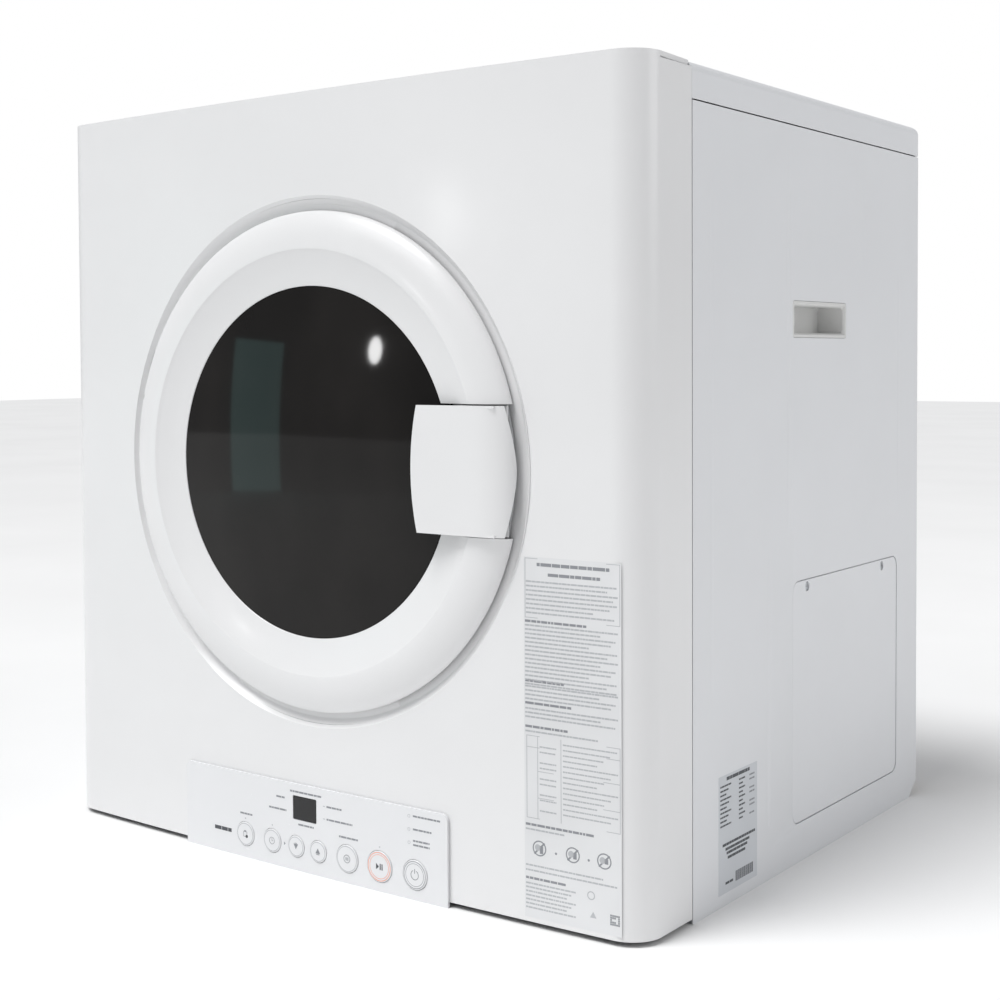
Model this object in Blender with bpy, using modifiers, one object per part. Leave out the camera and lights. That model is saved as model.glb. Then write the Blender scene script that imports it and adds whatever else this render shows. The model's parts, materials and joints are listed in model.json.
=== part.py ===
"""Compact front-loading gas clothes dryer.

Metres, +Z up, front towards -Y. The origin is at floor level, at the middle of the
whole object's plan. Everything hangs on one empty, whose own zero is the floor, on the
centre line, at the depth where the bowed front meets the flat sides.
"""
import math

import bmesh
import bpy
from mathutils import Matrix, Vector

# ---------------------------------------------------------------- overall sizes
WIDTH = 0.650            # across the two side panels
HEIGHT = 0.684           # cabinet, without its feet
DEPTH = 0.561            # front of the bow to the back of the rear panel
FOOT_H = 0.012           # cabinet's bottom edge above the floor
BOW = 0.0089             # how far the front stands out at its middle
GAP = 0.0003             # between pieces that touch
SEAM = 0.0012            # open line between the side sheet and its neighbours

# ---------------------------------------------------------------- cabinet
SHEET = 0.0012           # steel of the sides, top, rear and base
SHELL = 0.003            # moulded front panel
CORNER_R = 0.028         # vertical corners of the front
TOP_EDGE_R = 0.005
BOTTOM_EDGE_R = 0.010
FRONT_WRAP = 0.0756      # depth at which the front moulding meets the sides
SKIRT = 0.0295           # height of the top cover's side
COVER_EDGE_R = 0.008
CHAMFER_Y = 0.025        # cut-off lower rear corner
CHAMFER_Z = 0.020
FOOT_R = 0.018
FOOT_IN_X = 0.060        # foot centres, in from the sides
FOOT_IN_Y = 0.060        # and in from the front moulding and the rear
STUD_R = 0.0042          # foot's stud through the base pan
STUD_H = 0.0055
LOUVRES = 6              # slots in the rear panel
LOUVRE_X = (-0.230, -0.095)
LOUVRE_UP = 0.10         # lowest slot above the cabinet's bottom edge
LOUVRE_STEP = 0.018
LOUVRE_H = 0.006
GLAND_X = -0.270         # rubber gland that the supply cord would pass through
GLAND_UP = 0.055
GLAND_R = 0.0095
GLAND_BORE_R = 0.0045

GRIP_L = 0.114
GRIP_H = 0.032
GRIP_Y = 0.3157          # centre of the hand grip
GRIP_UP = 0.486          # its height above the cabinet's bottom edge
GRIP_DEEP = 0.028
GRIP_RIM = 0.004
GRIP_WALL = 0.002

SERVICE_L = 0.238
SERVICE_H = 0.214
SERVICE_Y = 0.379        # centre of the service cover
SERVICE_UP = 0.148
SERVICE_R = 0.010
SERVICE_LEDGE = 0.008    # ledge that the cover sits on
SERVICE_SLIT = 0.001
SCREW_R = 0.004
SCREW_SPAN = 0.171       # between the two screws
SCREW_DOWN = 0.006       # screw centres below the cover's top edge

# ---------------------------------------------------------------- door
DOOR_UP = 0.3645         # door and drum axis above the cabinet's bottom edge
RING_R = 0.217           # outer edge of the door
RIDGE_IN = 0.0336        # from there in to the highest line of the ring
RIDGE_Y = -0.018
GLASS_R = 0.1524         # visible window
GLASS_Y = -0.0094
RING_BACK_Y = -0.0045
RING_T = 0.0024
GLASS_T = 0.003
GLASS_DOME = 0.009
RECESS_Y = -0.002        # flat floor of the round recess that the door closes on
RECESS_GAP = 0.0065      # open line round the door
RECESS_FLARE = 0.94      # widening of the recess wall per unit of its depth
OPENING_R = 0.176        # way through the front panel
HANDLE_H = 0.1035
HANDLE_X = 0.122         # free edge of the handle plate
HANDLE_Y = -0.0225
HANDLE_T = 0.0022
SPLIT = 0.0012           # line between the handle and the ring
PLUG_R = 0.166           # door's inner dish
PLUG_Y = 0.030
LINER_T = 0.0021
HINGE_IN = 0.020         # hinge pin, in from the door's edge
HINGE_Y = -0.0078
HINGE_PIN_R = 0.002
HINGE_SPAN = 0.055       # ears above and below the door's centre
EAR_T = 0.0025
POCKET_Y = 0.0145        # floor of the pocket that the door's edge swings into
POCKET_IN = 0.0295       # right wall of that pocket, in from the door's edge
POCKET_HALF = 0.098      # above and below the door's centre
CATCH_IN = (0.0285, 0.0085) # magnet, left and right, in from the door's edge
HANDLE_ROLL = 0.031      # width over which the handle rolls down to the door's edge

RIDGE_R = RING_R - RIDGE_IN
RECESS_R = RING_R + RECESS_GAP
HINGE_X = HINGE_IN - RING_R
POCKET_X = POCKET_IN - RING_R
CATCH_X = (RING_R - CATCH_IN[0], RING_R - CATCH_IN[1])

# ---------------------------------------------------------------- control panel
PANEL_LEFT = -0.155
PANEL_RIGHT = 0.148
PANEL_TOP = 0.0824       # above the cabinet's bottom edge
PANEL_DROP = 0.007       # below it
PANEL_PROUD = 0.003
PANEL_R = 0.006
BUTTON_UP = 0.027
BUTTONS = (              # name, centre x, diameter
    ("button_course", -0.0784, 0.0215),
    ("button_time", -0.0452, 0.021),
    ("button_less", -0.0165, 0.019),
    ("button_more", 0.0092, 0.019),
    ("button_delay", 0.0422, 0.024),
    ("button_start", 0.0776, 0.0265),
    ("button_power", 0.115, 0.025),
)
BUTTON_PROUD = 0.0008
BUTTON_TRAVEL = 0.0008
BUTTON_SLIT = 0.0004
DISPLAY_X = -0.0065
DISPLAY_UP = 0.0612
DISPLAY_W = 0.027
DISPLAY_H = 0.0207
BOARD_Y = -0.001         # front of the control board
BOARD_T = 0.0016

# ---------------------------------------------------------------- drum and air path
DRUM_R = 0.275
DRUM_T = 0.0015
DRUM_FRONT = 0.050
DRUM_BACK = 0.405
LIP_R = 0.2625           # drum's front edge, riding on the felt
COLLAR_R = 0.257         # front bulkhead's collar under the felt
BULKHEAD_Y = 0.0225
BULKHEAD_T = 0.0015
REAR_BULKHEAD_Y = 0.4185
SHAFT_R = 0.010
LIFTER_H = 0.040
LIFTER_W = 0.044
FILTER_R = 0.085
FAN_R = 0.120
FAN_HOUSING_R = 0.140
FAN_HOUSING_Y = (0.440, 0.527)
EXHAUST_R = 0.040
EXHAUST_X = 0.095
EXHAUST_UP = 0.590
EXHAUST_OUT = 0.030      # collar behind the rear panel

# ---------------------------------------------------------------- drive
MOTOR_X = -0.245
MOTOR_UP = 0.083
MOTOR_R = 0.050
MOTOR_Y = (0.325, 0.405)
MOTOR_SHAFT_R = 0.006
DRUM_BELT_Y = 0.300
FAN_BELT_Y = 0.536
BELT_W = 0.008
BELT_T = 0.002
DRUM_PULLEY_R = 0.015
FAN_DRIVE_R = 0.022
FAN_PULLEY_R = 0.022
IDLER_X = -0.130
IDLER_UP = 0.0650
IDLER_R = 0.020
ARM_X = -0.075           # pivot of the idler arm
ARM_UP = 0.050
ARM_TAIL_X = -0.030
SPRING_R = 0.0045
SPRING_WIRE = 0.0012

# ---------------------------------------------------------------- burner
BURNER_X = 0.235
BURNER_UP = 0.093
CHAMBER_R = 0.045
CHAMBER_Y = (0.300, 0.4175)
BURNER_R = 0.016
VALVE_Y = (0.150, 0.215)
PIPE_R = 0.006
PIPE_X = 0.296
PIPE_UP = 0.030
PIPE_OUT = 0.022

# ---------------------------------------------------------------- worked out
HALF_W = WIDTH / 2
Z0 = FOOT_H
Z1 = FOOT_H + HEIGHT
BACK = DEPTH - BOW
SEAM_Z = Z1 - SKIRT
DOOR_Z = Z0 + DOOR_UP
BOW_R = (HALF_W ** 2 + BOW ** 2) / (2 * BOW)
BOW_Y = BOW_R - BOW                      # centre of the front's arc
FRONT_MOST = HANDLE_Y
REAR_MOST = BACK + EXHAUST_OUT
DEPTH_MIDDLE = (FRONT_MOST + REAR_MOST) / 2
BUTTON_Z = Z0 + BUTTON_UP
MOTOR_Z = Z0 + MOTOR_UP
IDLER_Z = Z0 + IDLER_UP
ARM_Z = Z0 + ARM_UP
BURNER_Z = Z0 + BURNER_UP
EXHAUST_Z = Z0 + EXHAUST_UP
SERVICE_Z = Z0 + SERVICE_UP
GRIP_Z = Z0 + GRIP_UP
GLAND_SPOT = (GLAND_X, Z0 + GLAND_UP)
EAR_CLEAR = 0.0006
INNER_X = HALF_W - SHEET                 # inner faces of the side panels


# ================================================================ tools
def clear_scene():
    for obj in list(bpy.data.objects):
        bpy.data.objects.remove(obj, do_unlink=True)


def new_collection(name):
    collection = bpy.data.collections.new(name)
    bpy.context.scene.collection.children.link(collection)
    return collection


def material(name, colour, roughness, metallic=0.0):
    made = bpy.data.materials.new(name)
    made.use_nodes = True
    shader = made.node_tree.nodes["Principled BSDF"]
    shader.inputs["Base Color"].default_value = (*colour, 1.0)
    shader.inputs["Roughness"].default_value = roughness
    shader.inputs["Metallic"].default_value = metallic
    made.diffuse_color = (*colour, 1.0)
    return made


def add(name, mesh, look=None):
    """A part when it has a look, a helper that isn't rendered when it has none."""
    obj = bpy.data.objects.new(name, mesh)
    obj.parent = MACHINE
    if look is None:
        CUTTERS.objects.link(obj)
        obj.hide_render = True
        obj.display_type = "WIRE"
    else:
        PARTS.objects.link(obj)
        mesh.materials.append(look)
    return obj


def finish_mesh(name, bm, smooth_angle=35):
    bmesh.ops.recalc_face_normals(bm, faces=bm.faces)
    mesh = bpy.data.meshes.new(name)
    bm.to_mesh(mesh)
    bm.free()
    mesh.shade_smooth()
    mesh.set_sharp_from_angle(angle=math.radians(smooth_angle))
    return mesh


def box(name, low, high, look=None, bevel=0.0):
    """A block between two corners; bevel rounds all its edges."""
    bm = bmesh.new()
    bmesh.ops.create_cube(bm, size=1.0)
    size = [b - a for a, b in zip(low, high)]
    middle = [(a + b) / 2 for a, b in zip(low, high)]
    bmesh.ops.scale(bm, vec=size, verts=bm.verts)
    if bevel:
        bmesh.ops.bevel(bm, geom=bm.edges[:], offset=bevel, segments=2, affect="EDGES", profile=0.5)
    obj = add(name, finish_mesh(name, bm), look)
    obj.location = middle
    return obj


ALONG = {"X": Matrix.Rotation(math.pi / 2, 3, "Y"), "Y": Matrix.Rotation(-math.pi / 2, 3, "X"),
         "Z": Matrix.Identity(3)}


def cylinder(name, centre, radius, span, look=None, along="Y", sides=32):
    """A round bar whose ends are at span, counted along its own axis."""
    bm = bmesh.new()
    bmesh.ops.create_cone(bm, cap_ends=True, segments=sides, radius1=radius, radius2=radius,
                          depth=span[1] - span[0])
    obj = add(name, finish_mesh(name, bm), look)
    obj.rotation_euler = ALONG[along].to_euler()
    place = list(centre)
    place.insert("XYZ".index(along), (span[0] + span[1]) / 2)
    obj.location = place
    return obj


def signed_area(points):
    return sum(a[0] * b[1] - b[0] * a[1] for a, b in zip(points, points[1:] + points[:1])) / 2


def turned(name, profile, centre, look=None, along="Y", sides=64, closed=True):
    """A profile of (radius, place along the axis) revolved. An open one starts and ends on the axis."""
    points = list(profile)
    if signed_area(points) > 0:
        points.reverse()
    bm = bmesh.new()
    verts = [bm.verts.new((r, 0, h)) for r, h in points]
    for a, b in zip(verts, verts[1:]):
        bm.edges.new((a, b))
    if closed:
        bm.edges.new((verts[-1], verts[0]))
    mesh = bpy.data.meshes.new(name)
    bm.to_mesh(mesh)
    bm.free()
    obj = add(name, mesh, look)
    screw = obj.modifiers.new("Screw", "SCREW")
    screw.axis = "Z"
    screw.steps = sides
    screw.render_steps = sides
    screw.use_merge_vertices = True
    screw.merge_threshold = 0.00001
    screw.use_smooth_shade = True
    obj.rotation_euler = ALONG[along].to_euler()
    place = list(centre)
    place.insert("XYZ".index(along), 0.0)
    obj.location = place
    return obj


def fixed(obj):
    """Turns an object's modifiers, or a curve, into a plain closed mesh."""
    bpy.context.view_layer.update()
    graph = bpy.context.evaluated_depsgraph_get()
    mesh = bpy.data.meshes.new_from_object(obj.evaluated_get(graph))
    bm = bmesh.new()
    bm.from_mesh(mesh)
    bmesh.ops.remove_doubles(bm, verts=bm.verts, dist=0.000002)
    bmesh.ops.recalc_face_normals(bm, faces=bm.faces)
    bm.to_mesh(mesh)
    bm.free()
    name = obj.name
    home = obj.users_collection[0]
    made = bpy.data.objects.new(name + "_mesh", mesh)
    home.objects.link(made)
    made.parent = MACHINE
    made.matrix_world = obj.matrix_world
    made.hide_render = obj.hide_render
    made.display_type = obj.display_type
    bpy.data.objects.remove(obj)
    made.name = name
    mesh.shade_smooth()
    mesh.set_sharp_from_angle(angle=math.radians(35))
    return made


def plate(name, loops, span, look=None, along="Z"):
    """A flat outline, with any holes as more loops, as thick as span. The loops hold the two
    coordinates that are left when the axis is taken away, in X, Y, Z order."""
    curve = bpy.data.curves.new(name, "CURVE")
    curve.dimensions = "2D"
    curve.fill_mode = "BOTH"
    curve.extrude = (span[1] - span[0]) / 2
    for loop in loops:
        spline = curve.splines.new("POLY")
        spline.points.add(len(loop) - 1)
        for point, (u, v) in zip(spline.points, loop):
            point.co = (u, v, 0, 1)
        spline.use_cyclic_u = True
    obj = bpy.data.objects.new(name, curve)
    obj.parent = MACHINE
    if look is None:
        CUTTERS.objects.link(obj)
        obj.hide_render = True
        obj.display_type = "WIRE"
    else:
        PARTS.objects.link(obj)
        curve.materials.append(look)
    middle = (span[0] + span[1]) / 2
    turns = {"X": Matrix(((0, 0, 1), (1, 0, 0), (0, 1, 0))),
             "Y": Matrix(((1, 0, 0), (0, 0, -1), (0, 1, 0))),
             "Z": Matrix.Identity(3)}
    offsets = {"X": (middle, 0, 0), "Y": (0, middle, 0), "Z": (0, 0, middle)}
    obj.rotation_euler = turns[along].to_euler()
    obj.location = offsets[along]
    return fixed(obj)


def tube(name, points, radius, look):
    curve = bpy.data.curves.new(name, "CURVE")
    curve.dimensions = "3D"
    curve.bevel_depth = radius
    curve.bevel_resolution = 2
    curve.use_fill_caps = True
    spline = curve.splines.new("POLY")
    spline.points.add(len(points) - 1)
    for point, place in zip(spline.points, points):
        point.co = (*place, 1)
    obj = bpy.data.objects.new(name, curve)
    obj.parent = MACHINE
    PARTS.objects.link(obj)
    curve.materials.append(look)
    return fixed(obj)


def combine(obj, operation, *others):
    for other in others:
        step = obj.modifiers.new(other.name, "BOOLEAN")
        step.operation = operation
        step.object = other
        step.solver = "EXACT"
    return obj


def cut(obj, *others):
    return combine(obj, "DIFFERENCE", *others)


def join(obj, *others):
    return combine(obj, "UNION", *others)


def arc(centre, radius, start, end, steps):
    """Points on a circle, angles in degrees."""
    turns = [math.radians(start + (end - start) * i / steps) for i in range(steps + 1)]
    return [(centre[0] + radius * math.cos(a), centre[1] + radius * math.sin(a)) for a in turns]


def circle(centre, radius, sides=32):
    return arc(centre, radius, 0, 360, sides)[:-1]


def rounded(centre, width, height, radius, steps=4):
    """A rectangle with round corners."""
    u, v = width / 2 - radius, height / 2 - radius
    loop = []
    for su, sv, start in ((1, 1, 0), (-1, 1, 90), (-1, -1, 180), (1, -1, 270)):
        loop += arc((centre[0] + su * u, centre[1] + sv * v), radius, start, start + 90, steps)
    return loop


def front_y(x, proud=0.0):
    """The bowed front's depth at x, or that of a surface standing proud of it."""
    return BOW_Y - math.sqrt((BOW_R + proud) ** 2 - x * x)


def front_outline(inset, bow_steps=16, corner_steps=5):
    """The front in plan, from the left side round the bow to the right side."""
    corner_x = HALF_W - CORNER_R
    corner_y = BOW_Y - math.sqrt((BOW_R - CORNER_R) ** 2 - corner_x ** 2)
    lean = math.degrees(math.atan2(corner_x, BOW_Y - corner_y))
    radius = CORNER_R - inset
    left = arc((-corner_x, corner_y), radius, 180, 270 - lean, corner_steps)
    bow = arc((0, BOW_Y), BOW_R - inset, 270 - lean, 270 + lean, bow_steps)
    right = arc((corner_x, corner_y), radius, 270 + lean, 360, corner_steps)
    return left + bow[1:-1] + right


def offset_line(points, distance):
    """The same open line, moved sideways to its left."""
    moved = []
    for i, point in enumerate(points):
        before = Vector(points[max(i - 1, 0)])
        after = Vector(points[min(i + 1, len(points) - 1)])
        here = Vector(point)
        sides = [v.normalized() for v in (here - before, after - here) if v.length > 0]
        normals = [Vector((-s.y, s.x)) for s in sides]
        across = sum(normals, Vector((0, 0))).normalized()
        moved.append(tuple(here + across * distance / max(across.dot(normals[0]), 0.5)))
    return moved


def strip(points, thickness):
    """A closed outline around an open line, as thick as stated on its left."""
    return list(points) + offset_line(points, thickness)[::-1]


# ================================================================ cabinet
def front_block(name, inset, low, high, back, edges=None):
    """The front's plan shape between two heights, closed flat at the back."""
    outline = front_outline(inset)
    outline = [(outline[0][0], back)] + outline + [(outline[-1][0], back)]
    obj = plate(name, [outline], (low, high), along="Z")
    if edges:
        bm = bmesh.new()
        bm.from_mesh(obj.data)
        weight = bm.edges.layers.float.new("bevel_weight_edge")
        for edge in bm.edges:
            a, b = (v.co for v in edge.verts)
            at_back = abs(a.y - back) < 1e-6 and abs(b.y - back) < 1e-6
            rim = len(edge.link_faces) == 2 and edge.calc_face_angle(0) > 1.2
            if rim and abs(a.z - b.z) < 1e-6 and not at_back:
                edge[weight] = edges[0] if a.z > 0 else edges[1]
        bm.to_mesh(obj.data)
        bm.free()
        bevel = obj.modifiers.new("Bevel", "BEVEL")
        bevel.limit_method = "WEIGHT"
        bevel.width = 1.0
        bevel.segments = 3
        obj = fixed(obj)
    return obj


def as_part(obj, look):
    """Moves a finished helper from the cutters to the parts."""
    CUTTERS.objects.unlink(obj)
    PARTS.objects.link(obj)
    obj.hide_render = False
    obj.display_type = "TEXTURED"
    obj.data.materials.clear()
    obj.data.materials.append(look)


def make_front_panel():
    panel = front_block("front_panel", 0.0, Z0, Z1, FRONT_WRAP, (TOP_EDGE_R, BOTTOM_EDGE_R))
    as_part(panel, WHITE)
    hollow = front_block("cut_front_hollow", SHELL, Z0 + SHELL, Z1 - SHELL, FRONT_WRAP + 0.02)
    seat_r = RECESS_R + SHELL + 0.0006
    seat = turned("add_recess", [(OPENING_R - 0.01, -0.0055), (seat_r, -0.0055),
                                 (seat_r, RECESS_Y + SHELL), (OPENING_R - 0.01, RECESS_Y + SHELL)],
                  (0, DOOR_Z), sides=64)
    hinge_cup = plate("add_hinge_pocket", [pocket_outline(POCKET_HALF, SHELL)],
                      (RECESS_Y + 0.0004, POCKET_Y + SHELL),
                      along="Y")
    hinge_pocket = plate("cut_hinge_pocket", [pocket_outline(POCKET_HALF, 0.0)], (-0.02, POCKET_Y),
                         along="Y")
    far = 0.02
    recess = turned("cut_recess", [(0, RECESS_Y), (RECESS_R, RECESS_Y),
                                   (RECESS_R + RECESS_FLARE * (far + RECESS_Y), -far), (0, -far)],
                    (0, DOOR_Z), closed=False, sides=64)
    opening = cylinder("cut_opening", (0, DOOR_Z), OPENING_R, (-0.03, 0.03), sides=64)
    window = box("cut_panel_window", (PANEL_LEFT + 0.015, -0.03, Z0 + 0.010),
                 (PANEL_RIGHT - 0.015, 0.0, Z0 + PANEL_TOP - 0.006))
    magnet = box("cut_magnet", (CATCH_X[0] - 0.0006, -0.01, DOOR_Z - 0.0156),
                 (CATCH_X[1] + 0.0006, 0.01, DOOR_Z + 0.0156))
    cut(panel, hollow, window)
    panel = fixed(join(panel, seat))
    panel = fixed(cut(panel, recess, opening))
    panel = fixed(join(panel, hinge_cup))
    cut(panel, hinge_pocket, magnet)


def pocket_outline(half_height, wall):
    """The hinge pocket seen from the front: the recess wall on the left, straight on the right."""
    radius = RECESS_R - 0.0008 + wall
    top = half_height + wall
    lean = math.degrees(math.asin(top / radius))
    side = arc((0, DOOR_Z), radius, 180 - lean, 180 + lean, 14)
    right = POCKET_X + wall
    return [(right, DOOR_Z + top)] + side + [(right, DOOR_Z - top)]


def side_outline(front, bottom, top, back):
    return [(front, bottom), (back - CHAMFER_Y, bottom), (back, bottom + CHAMFER_Z), (back, top),
            (front, top)]


def make_side_panel(name, side):
    front = FRONT_WRAP + SEAM
    loops = [side_outline(front, Z0, SEAM_Z - SEAM, BACK)]
    loops.append(rounded((GRIP_Y, GRIP_Z), GRIP_L + 2 * GAP, GRIP_H + 2 * GAP, 0.003, 2))
    span = sorted((side * INNER_X, side * HALF_W))
    panel = plate(name, loops, span, WHITE, "X")
    if side > 0:
        add_service_ledge(panel)
    return panel


def add_service_ledge(panel):
    at = (SERVICE_Y, SERVICE_Z)
    grow = SERVICE_SLIT + 2 * SHEET
    inner = (SERVICE_L - 2 * SERVICE_LEDGE, SERVICE_H - 2 * SERVICE_LEDGE)
    ledge = plate("add_ledge", [rounded(at, SERVICE_L + 2 * grow, SERVICE_H + 2 * grow, SERVICE_R + grow)],
                  (INNER_X - 2 * SHEET, INNER_X + SHEET / 4), along="X")
    seat = plate("cut_service_seat",
                 [rounded(at, SERVICE_L + 2 * SERVICE_SLIT, SERVICE_H + 2 * SERVICE_SLIT,
                                              SERVICE_R + SERVICE_SLIT)],
                 (INNER_X - SHEET, HALF_W + 0.01), along="X")
    hole = plate("cut_service_hole", [rounded(at, *inner, SERVICE_R)], (INNER_X - 0.01, HALF_W + 0.01),
                 along="X")
    shanks = [cylinder(f"cut_shank_{i}", spot, SCREW_R / 2 + GAP, (INNER_X - 0.01, HALF_W), along="X",
                       sides=12)
              for i, spot in enumerate(screw_spots())]
    join(panel, ledge)
    cut(panel, seat, hole, *shanks)


def screw_spots():
    high = SERVICE_Z + SERVICE_H / 2 - SCREW_DOWN
    middle = SERVICE_Y - 0.0035
    return [(middle - SCREW_SPAN / 2, high), (middle + SCREW_SPAN / 2, high)]


def make_service_cover():
    back = INNER_X - SHEET + GAP
    face = HALF_W - GAP
    cover = plate("service_cover", [rounded((SERVICE_Y, SERVICE_Z), SERVICE_L, SERVICE_H, SERVICE_R)],
                  (back, face), WHITE, "X")
    for i, (name, spot) in enumerate(zip(("service_screw_front", "service_screw_rear"), screw_spots())):
        cut(cover, cylinder(f"cut_screw_{i}", spot, SCREW_R + GAP, (back - 0.01, face + 0.01), along="X",
                            sides=20))
        head = face - 0.0002
        profile = [(0, back - 0.008), (SCREW_R / 2, back - 0.008), (SCREW_R / 2, back + 0.0002),
                   (SCREW_R, back + 0.0002), (SCREW_R, head - 0.0006), (SCREW_R * 0.7, head), (0, head)]
        screw = turned(name, profile, spot, STEEL, "X", 14, closed=False)
        slots = [box(f"cut_cross_{i}_{n}", (head - 0.0008, spot[0] - u, spot[1] - v),
                     (head + 0.001, spot[0] + u, spot[1] + v))
                 for n, (u, v) in enumerate(((0.0022, 0.0004), (0.0004, 0.0022)))]
        cut(screw, *slots)


def make_hand_grip(name, side):
    """A cup let into the side, with a sloping rim that lies flush with the sheet."""
    inner = HALF_W - GRIP_DEEP
    span = sorted((side * inner, side * HALF_W))
    at = (GRIP_Y, GRIP_Z)
    cup = plate(name, [rounded(at, GRIP_L, GRIP_H, 0.003, 2)], span, GREY, "X")
    wide, high = GRIP_L - 2 * GRIP_RIM, GRIP_H - 2 * GRIP_RIM
    hollow = plate(f"cut_{name}", [rounded(at, wide, high, 0.003, 2)],
                   sorted((side * (inner + GRIP_WALL), side * (HALF_W + 0.01))), along="X")
    cut(cup, hollow, rim_slope(f"cut_{name}_rim", side, at, wide, high))


def rim_slope(name, side, at, wide, high):
    """A wedge-sided block that bevels the grip's mouth."""
    bm = bmesh.new()
    deep = GRIP_RIM * 0.6
    bmesh.ops.create_cube(bm, size=1.0)
    for vert in bm.verts:
        outside = vert.co.x * side > 0
        grow = GRIP_RIM * 0.7 if outside else 0.0
        vert.co.y = math.copysign(wide / 2 + grow - 0.0005, vert.co.y)
        vert.co.z = math.copysign(high / 2 + grow - 0.0005, vert.co.z)
        vert.co.x = side * (HALF_W + 0.001 if outside else HALF_W - deep)
    obj = add(name, finish_mesh(name, bm))
    obj.location = (0, at[0], at[1])
    return obj


def make_top_cover():
    front = FRONT_WRAP + GAP
    low, high = (-HALF_W, front, SEAM_Z), (HALF_W, BACK, Z1)
    cover = box("top_cover", low, high, WHITE)
    bm = bmesh.new()
    bm.from_mesh(cover.data)
    weight = bm.edges.layers.float.new("bevel_weight_edge")
    for edge in bm.edges:
        a, b = (v.co for v in edge.verts)
        on_top = a.z > 0 and b.z > 0
        at_front = a.y < 0 and b.y < 0
        if on_top and not at_front:
            edge[weight] = COVER_EDGE_R
    bm.to_mesh(cover.data)
    bm.free()
    bevel = cover.modifiers.new("Bevel", "BEVEL")
    bevel.limit_method = "WEIGHT"
    bevel.width = 1.0
    bevel.segments = 4
    inside = box("cut_top_cover", (-INNER_X, front + SHEET, SEAM_Z - 0.01),
                 (INNER_X, BACK - SHEET, Z1 - SHEET),
                 bevel=COVER_EDGE_R - SHEET)
    cut(cover, inside)


def make_base_pan():
    front = FRONT_WRAP + 0.002
    rear = BACK - SHEET
    line = [(front, Z0 + 0.030), (front, Z0 + GAP), (BACK - CHAMFER_Y, Z0 + GAP), (rear, Z0 + CHAMFER_Z)]
    wide = INNER_X - GAP
    pan = plate("base_pan", [strip(line, SHEET)], (-wide, wide), STEEL, "X")
    feet = [cylinder(f"cut_foot_{i}", spot, STUD_R + GAP, (Z0 - 0.01, Z0 + 0.02), along="Z", sides=16)
            for i, spot in enumerate(foot_spots())]
    cut(pan, *feet)
    return pan


def foot_spots():
    x = HALF_W - FOOT_IN_X
    return [(sx * x, y) for y in (FRONT_WRAP + FOOT_IN_Y, BACK - FOOT_IN_Y) for sx in (-1, 1)]


def make_feet():
    names = ("foot_front_left", "foot_front_right", "foot_rear_left", "foot_rear_right")
    high = Z0
    profile = [(0, 0), (FOOT_R - 0.002, 0), (FOOT_R - 0.001, 0.001), (FOOT_R, high - 0.001), (FOOT_R, high),
               (STUD_R, high), (STUD_R, high + STUD_H), (0, high + STUD_H)]
    for name, spot in zip(names, foot_spots()):
        turned(name, profile, spot, RUBBER, "Z", 16, closed=False)


def make_rear_panel():
    wide = INNER_X - GAP
    low, high = Z0 + CHAMFER_Z + SHEET, SEAM_Z - GAP
    outline = [(-wide, low), (wide, low), (wide, high), (-wide, high)]
    holes = [circle((EXHAUST_X, EXHAUST_Z), EXHAUST_R + GAP, 40),
             circle((PIPE_X, Z0 + PIPE_UP), PIPE_R + 0.001, 16),
             circle(GLAND_SPOT, GLAND_R + GAP, 16)]
    panel = plate("rear_panel", [outline, *holes], (BACK - SHEET, BACK), WHITE, "Y")
    slots = []
    for row in range(LOUVRES):
        z = Z0 + LOUVRE_UP + LOUVRE_STEP * row
        slots.append(box(f"cut_louvre_{row}", (LOUVRE_X[0], BACK - 0.01, z),
                         (LOUVRE_X[1], BACK + 0.01, z + LOUVRE_H)))
    cut(panel, *slots)


def make_cord_gland():
    face = BACK
    profile = [(GLAND_BORE_R, face - 0.012), (GLAND_R, face - 0.012), (GLAND_R, face + GAP),
               (GLAND_R + 0.004, face + GAP),
               (GLAND_R + 0.003, face + 0.004), (GLAND_BORE_R + 0.002, face + 0.012),
               (GLAND_BORE_R, face + 0.012)]
    turned("cord_gland", profile, GLAND_SPOT, RUBBER, sides=16)


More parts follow.
